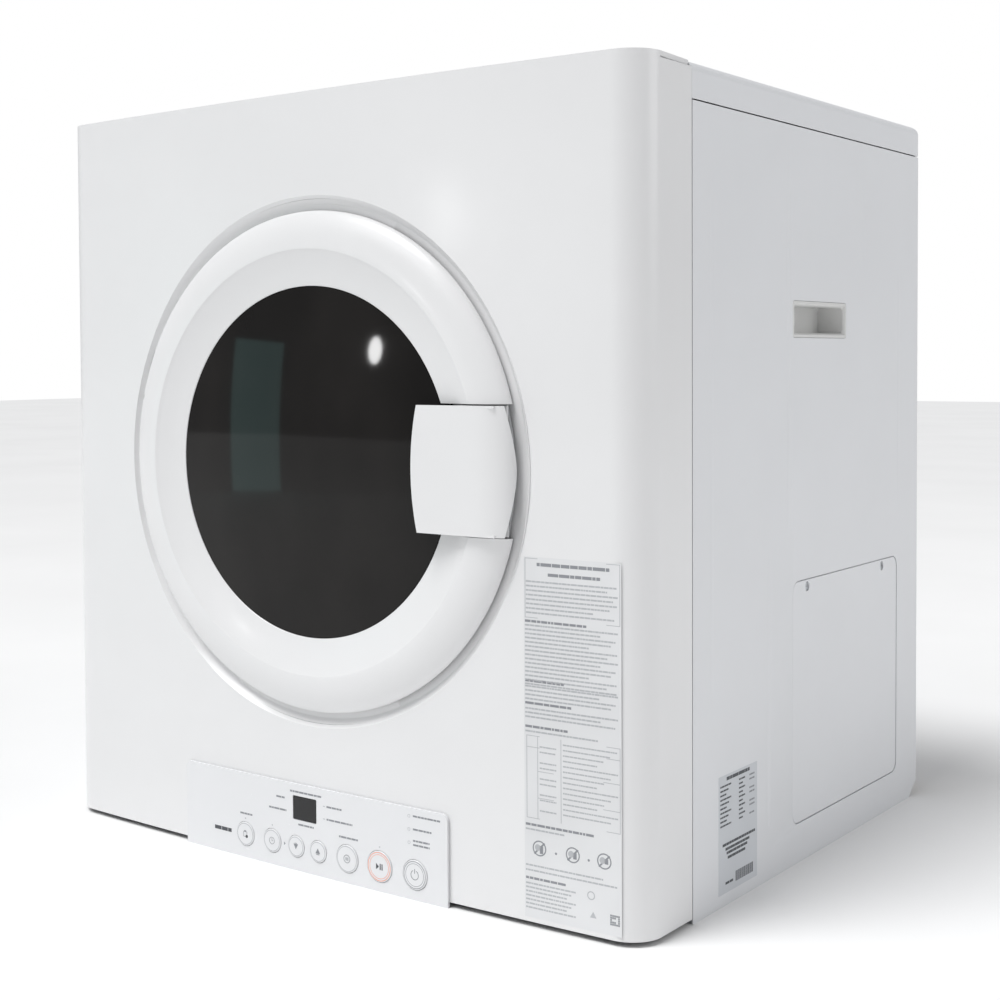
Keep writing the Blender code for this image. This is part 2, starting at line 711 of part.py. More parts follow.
def make_bulkheads():
    back = BULKHEAD_Y + BULKHEAD_T
    outline = rounded((0, (Z0 + Z1) / 2), WIDTH - 0.018, HEIGHT - 0.016, 0.010, 3)
    panel = plate("front_bulkhead", [outline, circle((0, DOOR_Z), OPENING_R + 0.002, 48)],
                  (BULKHEAD_Y, back), STEEL, "Y")
    inner = COLLAR_R - BULKHEAD_T
    near, far = BULKHEAD_Y + 0.0005, DRUM_FRONT + 0.014
    collar = turned("add_collar", [(inner, near), (COLLAR_R, near), (COLLAR_R, far), (inner, far)], (0, DOOR_Z),
                    sides=48)
    join(panel, collar)
    felt = [(COLLAR_R + GAP, DRUM_FRONT - 0.004), (LIP_R - GAP, DRUM_FRONT - 0.004),
            (LIP_R - GAP, DRUM_FRONT + 0.012), (COLLAR_R + GAP, DRUM_FRONT + 0.012)]
    turned("drum_front_felt", felt, (0, DOOR_Z), FELT, sides=48)
    rear = REAR_BULKHEAD_Y
    wide = INNER_X - 2 * SHEET - 0.002
    low, high = Z0 + 0.0016, SEAM_Z - 0.002
    loops = [[(-wide, low), (wide, low), (wide, high), (-wide, high)]]
    loops += spoke_openings(SHAFT_R + 0.012, FILTER_R - 0.005, 3, 0.016)
    loops += [circle((0, DOOR_Z), SHAFT_R + GAP, 24), circle((MOTOR_X, MOTOR_Z), 0.012, 16),
              circle((PIPE_X, Z0 + PIPE_UP), PIPE_R + 0.002, 16),
              circle((BURNER_X, BURNER_Z), CHAMBER_R + 0.001, 24)]
    for i in range(9):
        turn = math.radians(-62 + 20 * i)
        loops.append(circle((0.205 * math.cos(turn), DOOR_Z + 0.205 * math.sin(turn)), 0.018, 8))
    plate("rear_bulkhead", loops, (rear, rear + BULKHEAD_T), STEEL, "Y")


def spoke_openings(inner, outer, count, width):
    """Windows between the spokes that hold the drum's bearing."""
    loops = []
    for i in range(count):
        start, end = 360 / count * i + 90, 360 / count * (i + 1) + 90
        lean_out = math.degrees(math.asin(width / 2 / outer))
        lean_in = math.degrees(math.asin(width / 2 / inner))
        out = arc((0, DOOR_Z), outer, start + lean_out, end - lean_out, 8)
        back = arc((0, DOOR_Z), inner, end - lean_in, start + lean_in, 4)
        loops.append(out + back)
    return loops


# ================================================================ control panel
def curved_plate(name, left, right, low, high, back_proud, front_proud, look=None):
    """A plate that follows the bow of the front."""
    steps = 12
    xs = [left + (right - left) * i / steps for i in range(steps + 1)]
    outline = [(x, front_y(x, front_proud)) for x in xs] + [(x, front_y(x, back_proud))
                                                            for x in reversed(xs)]
    return plate(name, [outline], (low, high), look, "Z")


def make_control_panel():
    low, high = Z0 - PANEL_DROP, Z0 + PANEL_TOP
    panel = curved_plate("control_panel", PANEL_LEFT, PANEL_RIGHT, low, high, GAP, PANEL_PROUD, PANEL_WHITE)
    shape = rounded(((PANEL_LEFT + PANEL_RIGHT) / 2, (low + high) / 2), PANEL_RIGHT - PANEL_LEFT,
                    high - low, PANEL_R)
    mask = plate("mask_panel", [shape], (-0.03, 0.03), along="Y")
    steps = 12
    xs = [PANEL_LEFT + (PANEL_RIGHT - PANEL_LEFT) * i / steps for i in range(steps + 1)]
    tongue = plate("add_panel_tongue", [[(x, front_y(x, PANEL_PROUD - 0.0005)) for x in xs]
                                        + [(PANEL_RIGHT, 0.018), (PANEL_LEFT, 0.018)]],
                   (low, Z0 - 0.0005), along="Z")
    join(panel, tongue)
    combine(panel, "INTERSECT", mask)
    holes = [cylinder(f"cut_{name}", (x, BUTTON_Z), size / 2 + BUTTON_SLIT, (-0.03, 0.01), sides=20)
             for name, x, size in BUTTONS]
    at = (DISPLAY_X, Z0 + DISPLAY_UP)
    display = plate("cut_display", [rounded(at, DISPLAY_W + 2 * GAP, DISPLAY_H + 2 * GAP, 0.001, 2)],
                    (-0.03, 0.01),
                    along="Y")
    cut(panel, *holes, display)


def make_display():
    y = front_y(DISPLAY_X, PANEL_PROUD)
    at = (DISPLAY_X, Z0 + DISPLAY_UP)
    plate("display_window", [rounded(at, DISPLAY_W, DISPLAY_H, 0.001, 2)], (y + 0.0004, y + 0.0026),
          BLACK, "Y")


def make_buttons():
    for name, x, size in BUTTONS:
        face = front_y(x, PANEL_PROUD) - BUTTON_PROUD
        behind = front_y(x, 0) + 0.0006
        radius = size / 2
        board = BOARD_Y - BUTTON_TRAVEL - GAP
        profile = [(0, face), (radius - 0.0008, face), (radius, face + 0.0007), (radius, behind),
                   (radius + 0.0009, behind), (radius + 0.0009, behind + 0.001), (0.0025, behind + 0.001),
                   (0.0025, board), (0, board)]
        turned(name, profile, (x, BUTTON_Z), PANEL_WHITE, sides=16, closed=False)


def make_control_board():
    box("control_board", (PANEL_LEFT + 0.018, BOARD_Y, Z0 + 0.012),
        (PANEL_RIGHT - 0.018, BOARD_Y + BOARD_T, Z0 + PANEL_TOP - 0.008),
        BOARD)


# ================================================================ door
def ring_line():
    """The ring's front face from its edge, over the ridge, to the window."""
    rise = RIDGE_Y - RING_BACK_Y
    outer = []
    steps = 4
    for i in range(steps + 1):
        t = i / steps
        outer.append((RING_R - (RING_R - RIDGE_R - 0.003) * (1 - math.cos(t * math.pi / 2)) ** 0.9,
                      RING_BACK_Y - 0.0012 + (rise + 0.0012) * math.sin(t * math.pi / 2)))
    slope = [(RIDGE_R, RIDGE_Y + 0.0005), (GLASS_R, GLASS_Y)]
    return [(RING_R, RING_BACK_Y)] + outer + slope


def make_door_ring():
    line = ring_line()
    profile = strip(line, -RING_T)
    ring = turned("door_outer_ring", profile, (0, DOOR_Z), WHITE, sides=48)
    half = HANDLE_H / 2 + SPLIT
    bay = box("cut_handle_bay", (HANDLE_X - 0.01, -0.04, DOOR_Z - half),
              (RING_R + 0.02, 0.02, DOOR_Z + half))
    cut(ring, bay, *ear_slots("ring"))


def ear_slots(owner):
    slots = []
    for i, side in enumerate((-1, 1)):
        z = DOOR_Z + side * HINGE_SPAN
        half = EAR_T / 2 + EAR_CLEAR
        slots.append(box(f"cut_ear_{owner}_{i}", (-RING_R - 0.005, HINGE_Y - 0.0042, z - half),
                         (HINGE_X + 0.0105, 0.005, z + half)))
    return slots


def make_door_liner():
    front = RING_BACK_Y - LINER_T
    edge = RING_R - RING_T - 0.0012
    profile = [(0, PLUG_Y - LINER_T), (PLUG_R - 0.012, PLUG_Y - LINER_T), (PLUG_R - LINER_T, RING_BACK_Y),
               (PLUG_R - LINER_T, front), (edge, front), (edge, RING_BACK_Y), (PLUG_R, RING_BACK_Y),
               (PLUG_R - 0.010, PLUG_Y), (0, PLUG_Y)]
    liner = turned("door_liner", profile, (0, DOOR_Z), GREY, closed=False, sides=48)
    knuckle = box("cut_knuckle", (-RING_R, -0.02, DOOR_Z - HINGE_SPAN - 0.004),
                  (HINGE_X + 0.0042, 0.0, DOOR_Z + HINGE_SPAN + 0.004))
    cut(liner, knuckle, *ear_slots("liner"))


def make_door_window():
    steps = 5
    edge = GLASS_R + 0.008
    seat = GLASS_Y + RING_T + 0.0004

    def dome(r, inward):
        share = min(r / (GLASS_R - GAP), 1.0)
        return GLASS_Y + GAP - GLASS_DOME * (1 - share * share) + inward

    rs = [(GLASS_R - 2 * GAP) * i / steps for i in range(steps + 1)]
    front = [(r, dome(r, 0)) for r in rs]
    rear = [(r, dome(r, GLASS_T)) for r in reversed(rs)]
    profile = front + [(GLASS_R - 2 * GAP, seat), (edge, seat), (edge, seat + 0.0022)] + \
        [(GLASS_R - 0.002, seat + 0.0022)] + rear[1:]
    turned("door_window", profile, (0, DOOR_Z), SMOKED, closed=False, sides=36)


def make_door_gasket():
    front, rear = RING_BACK_Y + GAP, RECESS_Y - GAP
    profile = [(OPENING_R + 0.0012, front), (OPENING_R + 0.0105, front), (OPENING_R + 0.009, rear),
               (OPENING_R + 0.003, rear)]
    turned("door_gasket", profile, (0, DOOR_Z), RUBBER, sides=48)


def make_door_handle():
    """The plate that bridges the ring at the right, with the finger channel behind it."""
    half = HANDLE_H / 2
    steps = 7
    front = [(HANDLE_X, HANDLE_Y)]
    for i in range(steps + 1):
        t = i / steps
        front.append((RING_R - HANDLE_ROLL + HANDLE_ROLL * math.sin(t * math.pi / 2),
                      HANDLE_Y + (RING_BACK_Y - 0.0012 - HANDLE_Y) * (1 - math.cos(t * math.pi / 2))))
    front.append((RING_R, RING_BACK_Y))
    section = strip(front, HANDLE_T)
    handle = plate("door_handle", [section], (DOOR_Z - half, DOOR_Z + half), WHITE, "Z")
    floor_y = RING_BACK_Y - LINER_T - GAP
    floor = box("add_handle_floor", (GLASS_R + 0.0102, floor_y - 0.0018, DOOR_Z - half),
                (RING_R - RING_T + 0.0005, floor_y, DOOR_Z + half))
    cheeks = [box(f"add_cheek_{i}",
                  (PLUG_R, HANDLE_Y + 0.001, DOOR_Z + side * half - (0.002 if side > 0 else 0)),
                  (RING_R - 0.011, floor_y - 0.0005,
                   DOOR_Z + side * half + (0 if side > 0 else 0.002)))
              for i, side in enumerate((-1, 1))]
    join(handle, floor, *cheeks)
    bulge = 0.006
    reach = (half ** 2 + bulge ** 2) / (2 * bulge)
    face = arc((HANDLE_X + reach, DOOR_Z), reach, 180 - math.degrees(math.asin(half / reach)),
               180 + math.degrees(math.asin(half / reach)), 8)
    lean = math.degrees(math.asin((half - 0.0001) / RING_R))
    rim = arc((0, DOOR_Z), RING_R, -lean, lean, 10)
    mask = plate("mask_handle", [face + rim], (-0.05, 0.02), along="Y")
    combine(handle, "INTERSECT", mask)


def make_door_hinge():
    knuckle_r = 0.0031
    low, high = DOOR_Z - HINGE_SPAN, DOOR_Z + HINGE_SPAN
    half = EAR_T / 2
    bracket = cylinder("door_hinge_bracket", (HINGE_X, HINGE_Y), HINGE_PIN_R, (low - 0.003, high + 0.003),
                       STEEL, "Z", 16)
    for i, z in enumerate((low, high)):
        head, foot = HINGE_Y - 0.002, POCKET_Y - 0.0015
        outline = [(HINGE_X - 0.0022, head), (HINGE_X + 0.0022, head), (HINGE_X + 0.0057, foot),
                   (HINGE_X - 0.0005, foot)]
        ear = plate(f"add_ear_{i}", [outline], (z - half, z + half), along="Z")
        join(bracket, ear)
    foot = box("add_hinge_foot", (HINGE_X - 0.009, POCKET_Y - 0.002, low - 0.006),
               (HINGE_X + 0.0062, POCKET_Y - GAP, high + 0.006))
    join(bracket, foot)
    leaf = cylinder("door_hinge_leaf", (HINGE_X, HINGE_Y), knuckle_r, (low + 0.004, high - 0.004), STEEL,
                    "Z", 20)
    tab = box("add_leaf_tab", (HINGE_X, HINGE_Y - 0.0012, low + 0.006),
              (HINGE_X + 0.022, HINGE_Y, high - 0.006))
    bore = cylinder("cut_leaf_bore", (HINGE_X, HINGE_Y), HINGE_PIN_R + GAP, (low - 0.01, high + 0.01),
                    along="Z", sides=16)
    join(leaf, tab)
    cut(leaf, bore)


def make_door_catch():
    left, right = CATCH_X
    box("door_strike_plate", (left + 0.002, RING_BACK_Y + GAP, DOOR_Z - 0.014),
        (right - 0.002, RING_BACK_Y + 0.0015, DOOR_Z + 0.014), STEEL)
    box("door_catch_magnet", (left, RECESS_Y - 0.0006, DOOR_Z - 0.015), (right, 0.010, DOOR_Z + 0.015),
        DARK)


# ================================================================ drum and air path
def make_drum():
    inner = DRUM_R - DRUM_T
    lip = LIP_R + GAP
    profile = [(lip, DRUM_FRONT), (DRUM_R - 0.003, DRUM_FRONT), (DRUM_R, DRUM_FRONT + 0.003),
               (DRUM_R, DRUM_BACK - 0.006), (DRUM_R - 0.006, DRUM_BACK), (SHAFT_R + GAP, DRUM_BACK),
               (SHAFT_R + GAP, DRUM_BACK - DRUM_T), (DRUM_R - 0.0066, DRUM_BACK - DRUM_T),
               (inner, DRUM_BACK - 0.0066), (inner, DRUM_FRONT + 0.0036),
               (DRUM_R - 0.0036, DRUM_FRONT + DRUM_T),
               (lip, DRUM_FRONT + DRUM_T)]
    drum = turned("drum", profile, (0, DOOR_Z), DRUM_STEEL, sides=48)
    holes = []
    for ring_r, count, radius in ((0.190, 14, 0.015), (0.055, 7, 0.013)):
        for i in range(count):
            turn = 2 * math.pi * (i + 0.4) / count
            spot = (ring_r * math.cos(turn), DOOR_Z + ring_r * math.sin(turn))
            holes.append(cylinder(f"cut_air_{count}_{i}", spot, radius,
                                  (DRUM_BACK - 0.01, DRUM_BACK + 0.01), sides=8))
    cut(drum, *holes)


def make_lifters():
    """Three hollow ribs, open to the drum wall, that carry the laundry round."""
    foot = DRUM_R - DRUM_T - GAP
    front, rear = DRUM_FRONT + 0.020, DRUM_BACK - 0.020
    half = LIFTER_W / 2
    wall = 0.002
    base = math.sqrt(foot ** 2 - half ** 2) - 0.0003

    def outline(inset):
        low = base + (0 if inset == 0 else 0.01)
        return [(low, -half + inset), (foot - LIFTER_H + inset, -half * 0.42 + inset * 0.7),
                (foot - LIFTER_H - 0.003 + inset, 0), (foot - LIFTER_H + inset, half * 0.42 - inset * 0.7),
                (low, half - inset)]

    for i in range(3):
        rib = plate(f"drum_lifter_{i + 1}", [outline(0)], (front, rear), GREY, "Y")
        core = plate(f"cut_lifter_{i + 1}", [outline(wall)], (front + wall, rear - wall), along="Y")
        cut(rib, core)
        rib = fixed(rib)
        turn = math.radians(90 + 120 * i)
        spin = Matrix.Rotation(-turn, 4, "Y")
        rib.data.transform(Matrix.Translation((0, 0, DOOR_Z)) @ spin @ rib.matrix_basis)
        rib.matrix_basis = Matrix.Identity(4)


def make_drum_shaft():
    flange = DRUM_BACK + GAP
    profile = [(0, DRUM_BACK - 0.006), (SHAFT_R, DRUM_BACK - 0.006), (SHAFT_R, flange), (0.024, flange),
               (0.024, flange + 0.003), (SHAFT_R - 0.0002, flange + 0.003),
               (SHAFT_R - 0.0002, REAR_BULKHEAD_Y + 0.010),
               (0, REAR_BULKHEAD_Y + 0.010)]
    turned("drum_shaft", profile, (0, DOOR_Z), STEEL, closed=False, sides=24)


def make_lint_filter():
    """A shallow round screen with a knob, held on the drum's back wall."""
    rear = DRUM_BACK - DRUM_T - GAP
    profile = [(0, rear - 0.034), (0.016, rear - 0.034), (0.018, rear - 0.030), (0.014, rear - 0.016),
               (0.020, rear - 0.012), (FILTER_R - 0.006, rear - 0.009), (FILTER_R, rear - 0.004),
               (FILTER_R, rear),
               (FILTER_R - 0.004, rear), (FILTER_R - 0.008, rear - 0.006), (0.016, rear - 0.0075),
               (0, rear - 0.0075)]
    screen = turned("lint_filter", profile, (0, DOOR_Z), BLUE, closed=False, sides=20)
    windows = []
    for i in range(6):
        start, end = 60 * i + 7, 60 * (i + 1) - 7
        outline = arc((0, DOOR_Z), FILTER_R - 0.014, start, end, 6) + arc((0, DOOR_Z), 0.030, end, start, 3)
        windows.append(plate(f"cut_screen_{i}", [outline], (rear - 0.02, rear + 0.01), along="Y"))
    cut(screen, *windows)


def make_fan():
    front, rear = FAN_HOUSING_Y
    wall = 0.0018
    half = 0.046
    top = EXHAUST_Z + half
    can = cylinder("fan_housing", (0, DOOR_Z), FAN_HOUSING_R, (front, rear), GREY, sides=32)
    neck = box("add_fan_neck", (EXHAUST_X - half, front, DOOR_Z), (EXHAUST_X + half, rear, top))
    inlet = turned("add_fan_inlet", [(0.086, REAR_BULKHEAD_Y + BULKHEAD_T + GAP),
                                     (0.088, REAR_BULKHEAD_Y + BULKHEAD_T + GAP),
                                     (0.088, front + 0.001), (0.086, front + 0.001)], (0, DOOR_Z), sides=28)
    hollow = cylinder("cut_fan_can", (0, DOOR_Z), FAN_HOUSING_R - wall, (front + wall, rear - wall),
                      sides=32)
    shaft_way = box("cut_fan_neck", (EXHAUST_X - half + wall, front + wall, DOOR_Z),
                    (EXHAUST_X + half - wall, rear - wall, top - wall))
    mouth = cylinder("cut_fan_inlet", (0, DOOR_Z), 0.082, (front - 0.03, front + 0.02), sides=28)
    outlet = cylinder("cut_fan_outlet", (EXHAUST_X, EXHAUST_Z), EXHAUST_R - 0.003,
                      (rear - 0.01, rear + 0.01), sides=24)
    bore = cylinder("cut_fan_bore", (0, DOOR_Z), 0.0055, (rear - 0.01, rear + 0.01), sides=16)
    join(can, neck, inlet)
    cut(can, hollow, shaft_way, mouth, outlet, bore)
    make_fan_wheel(front, rear)
    pulley("fan_pulley", (0, DOOR_Z), FAN_PULLEY_R, FAN_BELT_Y, [(0.0048, rear - 0.055)], 0.0)


def make_fan_wheel(front, rear):
    """Back plate, hub and radial blades."""
    back = rear - 0.008
    profile = [(0.0052, rear - 0.045), (0.016, rear - 0.045), (0.018, back - 0.002),
               (FAN_R, back - 0.002), (FAN_R, back),
               (0.0052, back)]
    wheel = turned("fan_wheel", profile, (0, DOOR_Z), GREY, sides=24)
    for i in range(8):
        blade = box(f"add_blade_{i}", (0.012, front + 0.024, -0.001), (FAN_R - 0.004, back - 0.001, 0.001))
        turn = Matrix.Rotation(math.radians(45 * i), 4, "Y")
        blade.data.transform(turn @ Matrix.Translation(blade.location))
        blade.location = (0, 0, DOOR_Z)
        join(wheel, blade)


def make_exhaust():
    """The collar that the exhaust hose slides over."""
    start = FAN_HOUSING_Y[1] + GAP
    inner = EXHAUST_R - 0.002
    profile = [(inner, start), (EXHAUST_R + 0.006, start), (EXHAUST_R + 0.006, start + 0.002),
               (EXHAUST_R, start + 0.002),
               (EXHAUST_R, REAR_MOST - 0.001), (EXHAUST_R - 0.001, REAR_MOST), (inner, REAR_MOST)]
    turned("exhaust_collar", profile, (EXHAUST_X, EXHAUST_Z), STEEL, sides=28)


# ================================================================ drive
def pulley(name, spot, radius, y, shaft, bore):
    half = BELT_W / 2 + 0.001
    rim = radius + BELT_T + 0.0012
    wheel = [(radius, y - half), (radius, y + half), (rim, y + half), (rim, y + half + 0.0015)]
    start = [(rim, y - half - 0.0015), (rim, y - half)]
    if bore:
        profile = [(bore, y - half - 0.0015), *start, *wheel, (bore, y + half + 0.0015)]
        return turned(name, profile, spot, GREY, sides=28)
    (shaft_r, shaft_y), = shaft
    profile = [(0, shaft_y), (shaft_r, shaft_y), (shaft_r, y - half - 0.0015), *start, *wheel,
               (0, y + half + 0.0015)]
    return turned(name, profile, spot, STEEL, sides=18, closed=False)


def make_motor():
    front, rear = MOTOR_Y
    bore = MOTOR_SHAFT_R + GAP
    profile = [(bore, front - 0.006), (0.016, front - 0.006), (0.018, front),
               (MOTOR_R - 0.006, front + 0.004),
               (MOTOR_R, front + 0.014), (MOTOR_R, rear - 0.014), (MOTOR_R - 0.006, rear - 0.004),
               (0.018, rear),
               (0.016, rear + 0.004), (bore, rear + 0.004)]
    turned("motor_body", profile, (MOTOR_X, MOTOR_Z), DARK, sides=24)
    low = Z0 + 0.0018
    saddle = arc((MOTOR_X, MOTOR_Z), MOTOR_R + GAP + 0.0008, 215, 325, 12)
    left, right = saddle[0][0] - 0.004, saddle[-1][0] + 0.004
    line = [(left, low), (left, saddle[0][1])] + saddle + [(right, saddle[-1][1]), (right, low)]
    plate("motor_bracket", [line], (front + 0.020, rear - 0.020), STEEL, "Y")
    make_motor_shaft()


def make_motor_shaft():
    """One turned shaft: the drum belt's pulley at its front, the fan belt's at its rear."""
    half = BELT_W / 2 + 0.001

    def groove(radius, y):
        rim = radius + BELT_T + 0.0012
        return [(rim, y - half - 0.0015), (rim, y - half), (radius, y - half), (radius, y + half),
                (rim, y + half),
                (rim, y + half + 0.0015)]

    r = MOTOR_SHAFT_R
    front, rear = groove(DRUM_PULLEY_R, DRUM_BELT_Y), groove(FAN_DRIVE_R, FAN_BELT_Y)
    profile = [(0, front[0][1]), *front, (r, front[-1][1]), (r, rear[0][1]), *rear, (0, rear[-1][1])]
    turned("motor_shaft", profile, (MOTOR_X, MOTOR_Z), STEEL, closed=False, sides=18)


def belt_loop(wheels, lift):
    """A closed line round circles (x, z, radius, side) in the order that the belt meets them, going
    anticlockwise. Side 1 is inside the loop, -1 presses on its back. Lift moves the line outwards."""
    spans = []
    for (ax, az, ar, aside), (bx, bz, br, bside) in zip(wheels, wheels[1:] + wheels[:1]):
        ra, rb = aside * ar + lift, bside * br + lift
        dx, dz = bx - ax, bz - az
        length = math.hypot(dx, dz)
        heading = math.atan2(dz, dx)
        lean = math.asin((ra - rb) / length)
        normal = heading - math.pi / 2 + lean
        n = (math.cos(normal), math.sin(normal))
        spans.append(((ax + ra * n[0], az + ra * n[1]), (bx + rb * n[0], bz + rb * n[1]), normal))
    points = []
    for i, (x, z, radius, side) in enumerate(wheels):
        begin, end = spans[i - 1][2], spans[i][2]
        sweep = (end - begin) % (2 * math.pi) if side > 0 else -((begin - end) % (2 * math.pi))
        steps = max(3, round(abs(sweep) / math.radians(7.5 if radius > 0.1 else 20)))
        reach = side * radius + lift
        points += [(x + reach * math.cos(begin + sweep * k / steps),
                    z + reach * math.sin(begin + sweep * k / steps))
                   for k in range(steps + 1)]
    return points


def clear_of(radius, step):
    """Where a line of straight pieces, one every step degrees, clears a wheel."""
    return (radius + GAP) / math.cos(math.radians(step / 2))


def make_belts():
    drum = (0, DOOR_Z, clear_of(DRUM_R, 7.5), 1)
    motor = (MOTOR_X, MOTOR_Z, clear_of(DRUM_PULLEY_R, 20), 1)
    idler = (IDLER_X, IDLER_Z, clear_of(IDLER_R, 20) + BELT_T, -1)
    loops = [belt_loop([drum, motor, idler], lift) for lift in (BELT_T, 0)]
    plate("drum_belt", loops, (DRUM_BELT_Y - BELT_W / 2, DRUM_BELT_Y + BELT_W / 2), RUBBER, "Y")
    fan = (0, DOOR_Z, clear_of(FAN_PULLEY_R, 20), 1)
    drive = (MOTOR_X, MOTOR_Z, clear_of(FAN_DRIVE_R, 20), 1)
    loops = [belt_loop([fan, drive], lift) for lift in (BELT_T, 0)]
    plate("fan_belt", loops, (FAN_BELT_Y - BELT_W / 2, FAN_BELT_Y + BELT_W / 2), RUBBER, "Y")


def make_idler(pan):
    y = DRUM_BELT_Y
    half = BELT_W / 2 + 0.002
    profile = [(0.0043, y - half), (IDLER_R, y - half), (IDLER_R, y + half), (0.0043, y + half)]
    turned("idler_pulley", profile, (IDLER_X, IDLER_Z), GREY, sides=20)
    back = y + half + GAP
    arm_t = 0.003
    tail_z = ARM_Z - 0.006
    arm = plate("idler_arm", [arm_outline((IDLER_X, IDLER_Z), (ARM_X, ARM_Z), 0.008)],
                (back, back + arm_t), STEEL, "Y")
    tail = plate("add_arm_tail", [arm_outline((ARM_X, ARM_Z), (ARM_TAIL_X, tail_z), 0.006)],
                 (back, back + arm_t), along="Y")
    axle = cylinder("add_idler_axle", (IDLER_X, IDLER_Z), 0.004, (y - half - 0.001, back + 0.001), sides=16)
    hub = cylinder("add_arm_hub", (ARM_X, ARM_Z), 0.008, (back - 0.001, back + 0.012), sides=20)
    bore = cylinder("cut_arm_bore", (ARM_X, ARM_Z), 0.0043, (back - 0.01, back + 0.02), sides=16)
    join(arm, tail, axle, hub)
    cut(arm, bore)
    add_idler_post(pan, back)
    make_tension_spring(back + arm_t / 2, tail_z)


def add_idler_post(pan, back):
    """The base pan's post that the idler arm turns on."""
    low = Z0 + SHEET / 2
    post = box("add_idler_post", (ARM_X - 0.009, back + 0.0125, low),
               (ARM_X + 0.009, back + 0.0155, ARM_Z + 0.008))
    pin = cylinder("add_post_pin", (ARM_X, ARM_Z), 0.004, (back - 0.002, back + 0.014), sides=16)
    join(pan, post, pin)


def arm_outline(a, b, half):
    heading = math.degrees(math.atan2(b[1] - a[1], b[0] - a[0]))
    return arc(b, half, heading - 90, heading + 90, 6) + arc(a, half, heading + 90, heading + 270, 6)


def make_tension_spring(y, tail_z):
    """A coil from the base pan up to the idler arm's tail."""
    low, high = Z0 + 0.0022 + SPRING_WIRE, tail_z - 0.006 - GAP - SPRING_WIRE
    turns = 5
    points = []
    for i in range(turns * 6 + 1):
        share = i / (turns * 6)
        turn = 2 * math.pi * turns * share
        points.append((ARM_TAIL_X + SPRING_R * math.cos(turn), y + SPRING_R * math.sin(turn),
                       low + (high - low) * share))
    tube("tension_spring", points, SPRING_WIRE / 2, STEEL)


# ================================================================ burner
def make_burner():
    front, rear = CHAMBER_Y
    wall = 0.0015
    bore, far = CHAMBER_R - wall, rear + 0.004
    chamber = turned("combustion_duct", [(bore, front), (CHAMBER_R, front), (CHAMBER_R, far), (bore, far)],
                     (BURNER_X, BURNER_Z), BRUSHED, sides=24)
    hood_low, hood_high = BURNER_Z - CHAMBER_R - 0.002, DOOR_Z - 0.10
    start = REAR_BULKHEAD_Y + BULKHEAD_T + GAP
    half = CHAMBER_R + 0.002
    hood = box("add_hood", (BURNER_X - half, start, hood_low), (BURNER_X + half, start + 0.017, hood_high))
    inside = box("cut_hood", (BURNER_X - half + wall, start + wall, hood_low + wall),
                 (BURNER_X + half - wall, start + 0.017 - wall, hood_high - wall))
    mouth = box("cut_hood_mouth", (BURNER_X - half + 0.008, start - 0.01, BURNER_Z + CHAMBER_R + 0.012),
                (BURNER_X + half - 0.008, start + 0.005, hood_high - 0.010))
    through = cylinder("cut_chamber", (BURNER_X, BURNER_Z), CHAMBER_R - wall,
                       (front - 0.01, start + 0.005), sides=24)
    join(chamber, hood)
    cut(chamber, inside, through, mouth)
    tube_front = VALVE_Y[1] + GAP
    profile = [(0, tube_front), (BURNER_R, tube_front), (BURNER_R, front - 0.020),
               (BURNER_R + 0.010, front + 0.010),
               (BURNER_R + 0.008, front + 0.010), (BURNER_R - 0.002, front - 0.018), (0, front - 0.018)]
    turned("gas_burner", profile, (BURNER_X, BURNER_Z), CAST, closed=False, sides=24)
    valve = box("gas_valve", (BURNER_X - 0.022, VALVE_Y[0], BURNER_Z - 0.020),
                (BURNER_X + 0.022, VALVE_Y[1], BURNER_Z + 0.020), BRASS, 0.002)
    solenoids = [cylinder(f"add_solenoid_{i}", (BURNER_X, y), 0.013, (BURNER_Z + 0.018, BURNER_Z + 0.052),
                          along="Z", sides=20)
                 for i, y in enumerate((VALVE_Y[0] + 0.018, VALVE_Y[0] + 0.047))]
    join(valve, *solenoids)
    make_gas_pipe()


def make_gas_pipe():
    """From the fitting behind the cabinet, along the base, up to the valve."""
    z = Z0 + PIPE_UP
    end_y = BACK + PIPE_OUT
    valve_y = (VALVE_Y[0] + VALVE_Y[1]) / 2
    bend = 0.018
    corner = arc((PIPE_X - bend, valve_y + bend), bend, 0, -90, 4)
    low_run = [(PIPE_X, end_y, z), (PIPE_X, valve_y + bend + 0.02, z)]
    turn = [(x, y, z) for x, y in corner]
    rise = [(BURNER_X + 0.008, valve_y, z), (BURNER_X, valve_y, z + 0.008),
            (BURNER_X, valve_y, BURNER_Z - 0.020 - GAP)]
    pipe = tube("gas_inlet_pipe", low_run + turn + rise, PIPE_R, BRASS)
    nut = cylinder("add_inlet_nut", (PIPE_X, z), 0.011, (end_y - 0.014, end_y - 0.002), sides=6)
    join(pipe, nut)


# ================================================================ build
clear_scene()
PARTS = new_collection("clothes_dryer")
CUTTERS = new_collection("cutters")
MACHINE = bpy.data.objects.new("machine", None)
PARTS.objects.link(MACHINE)
MACHINE.location = (0, -DEPTH_MIDDLE, 0)

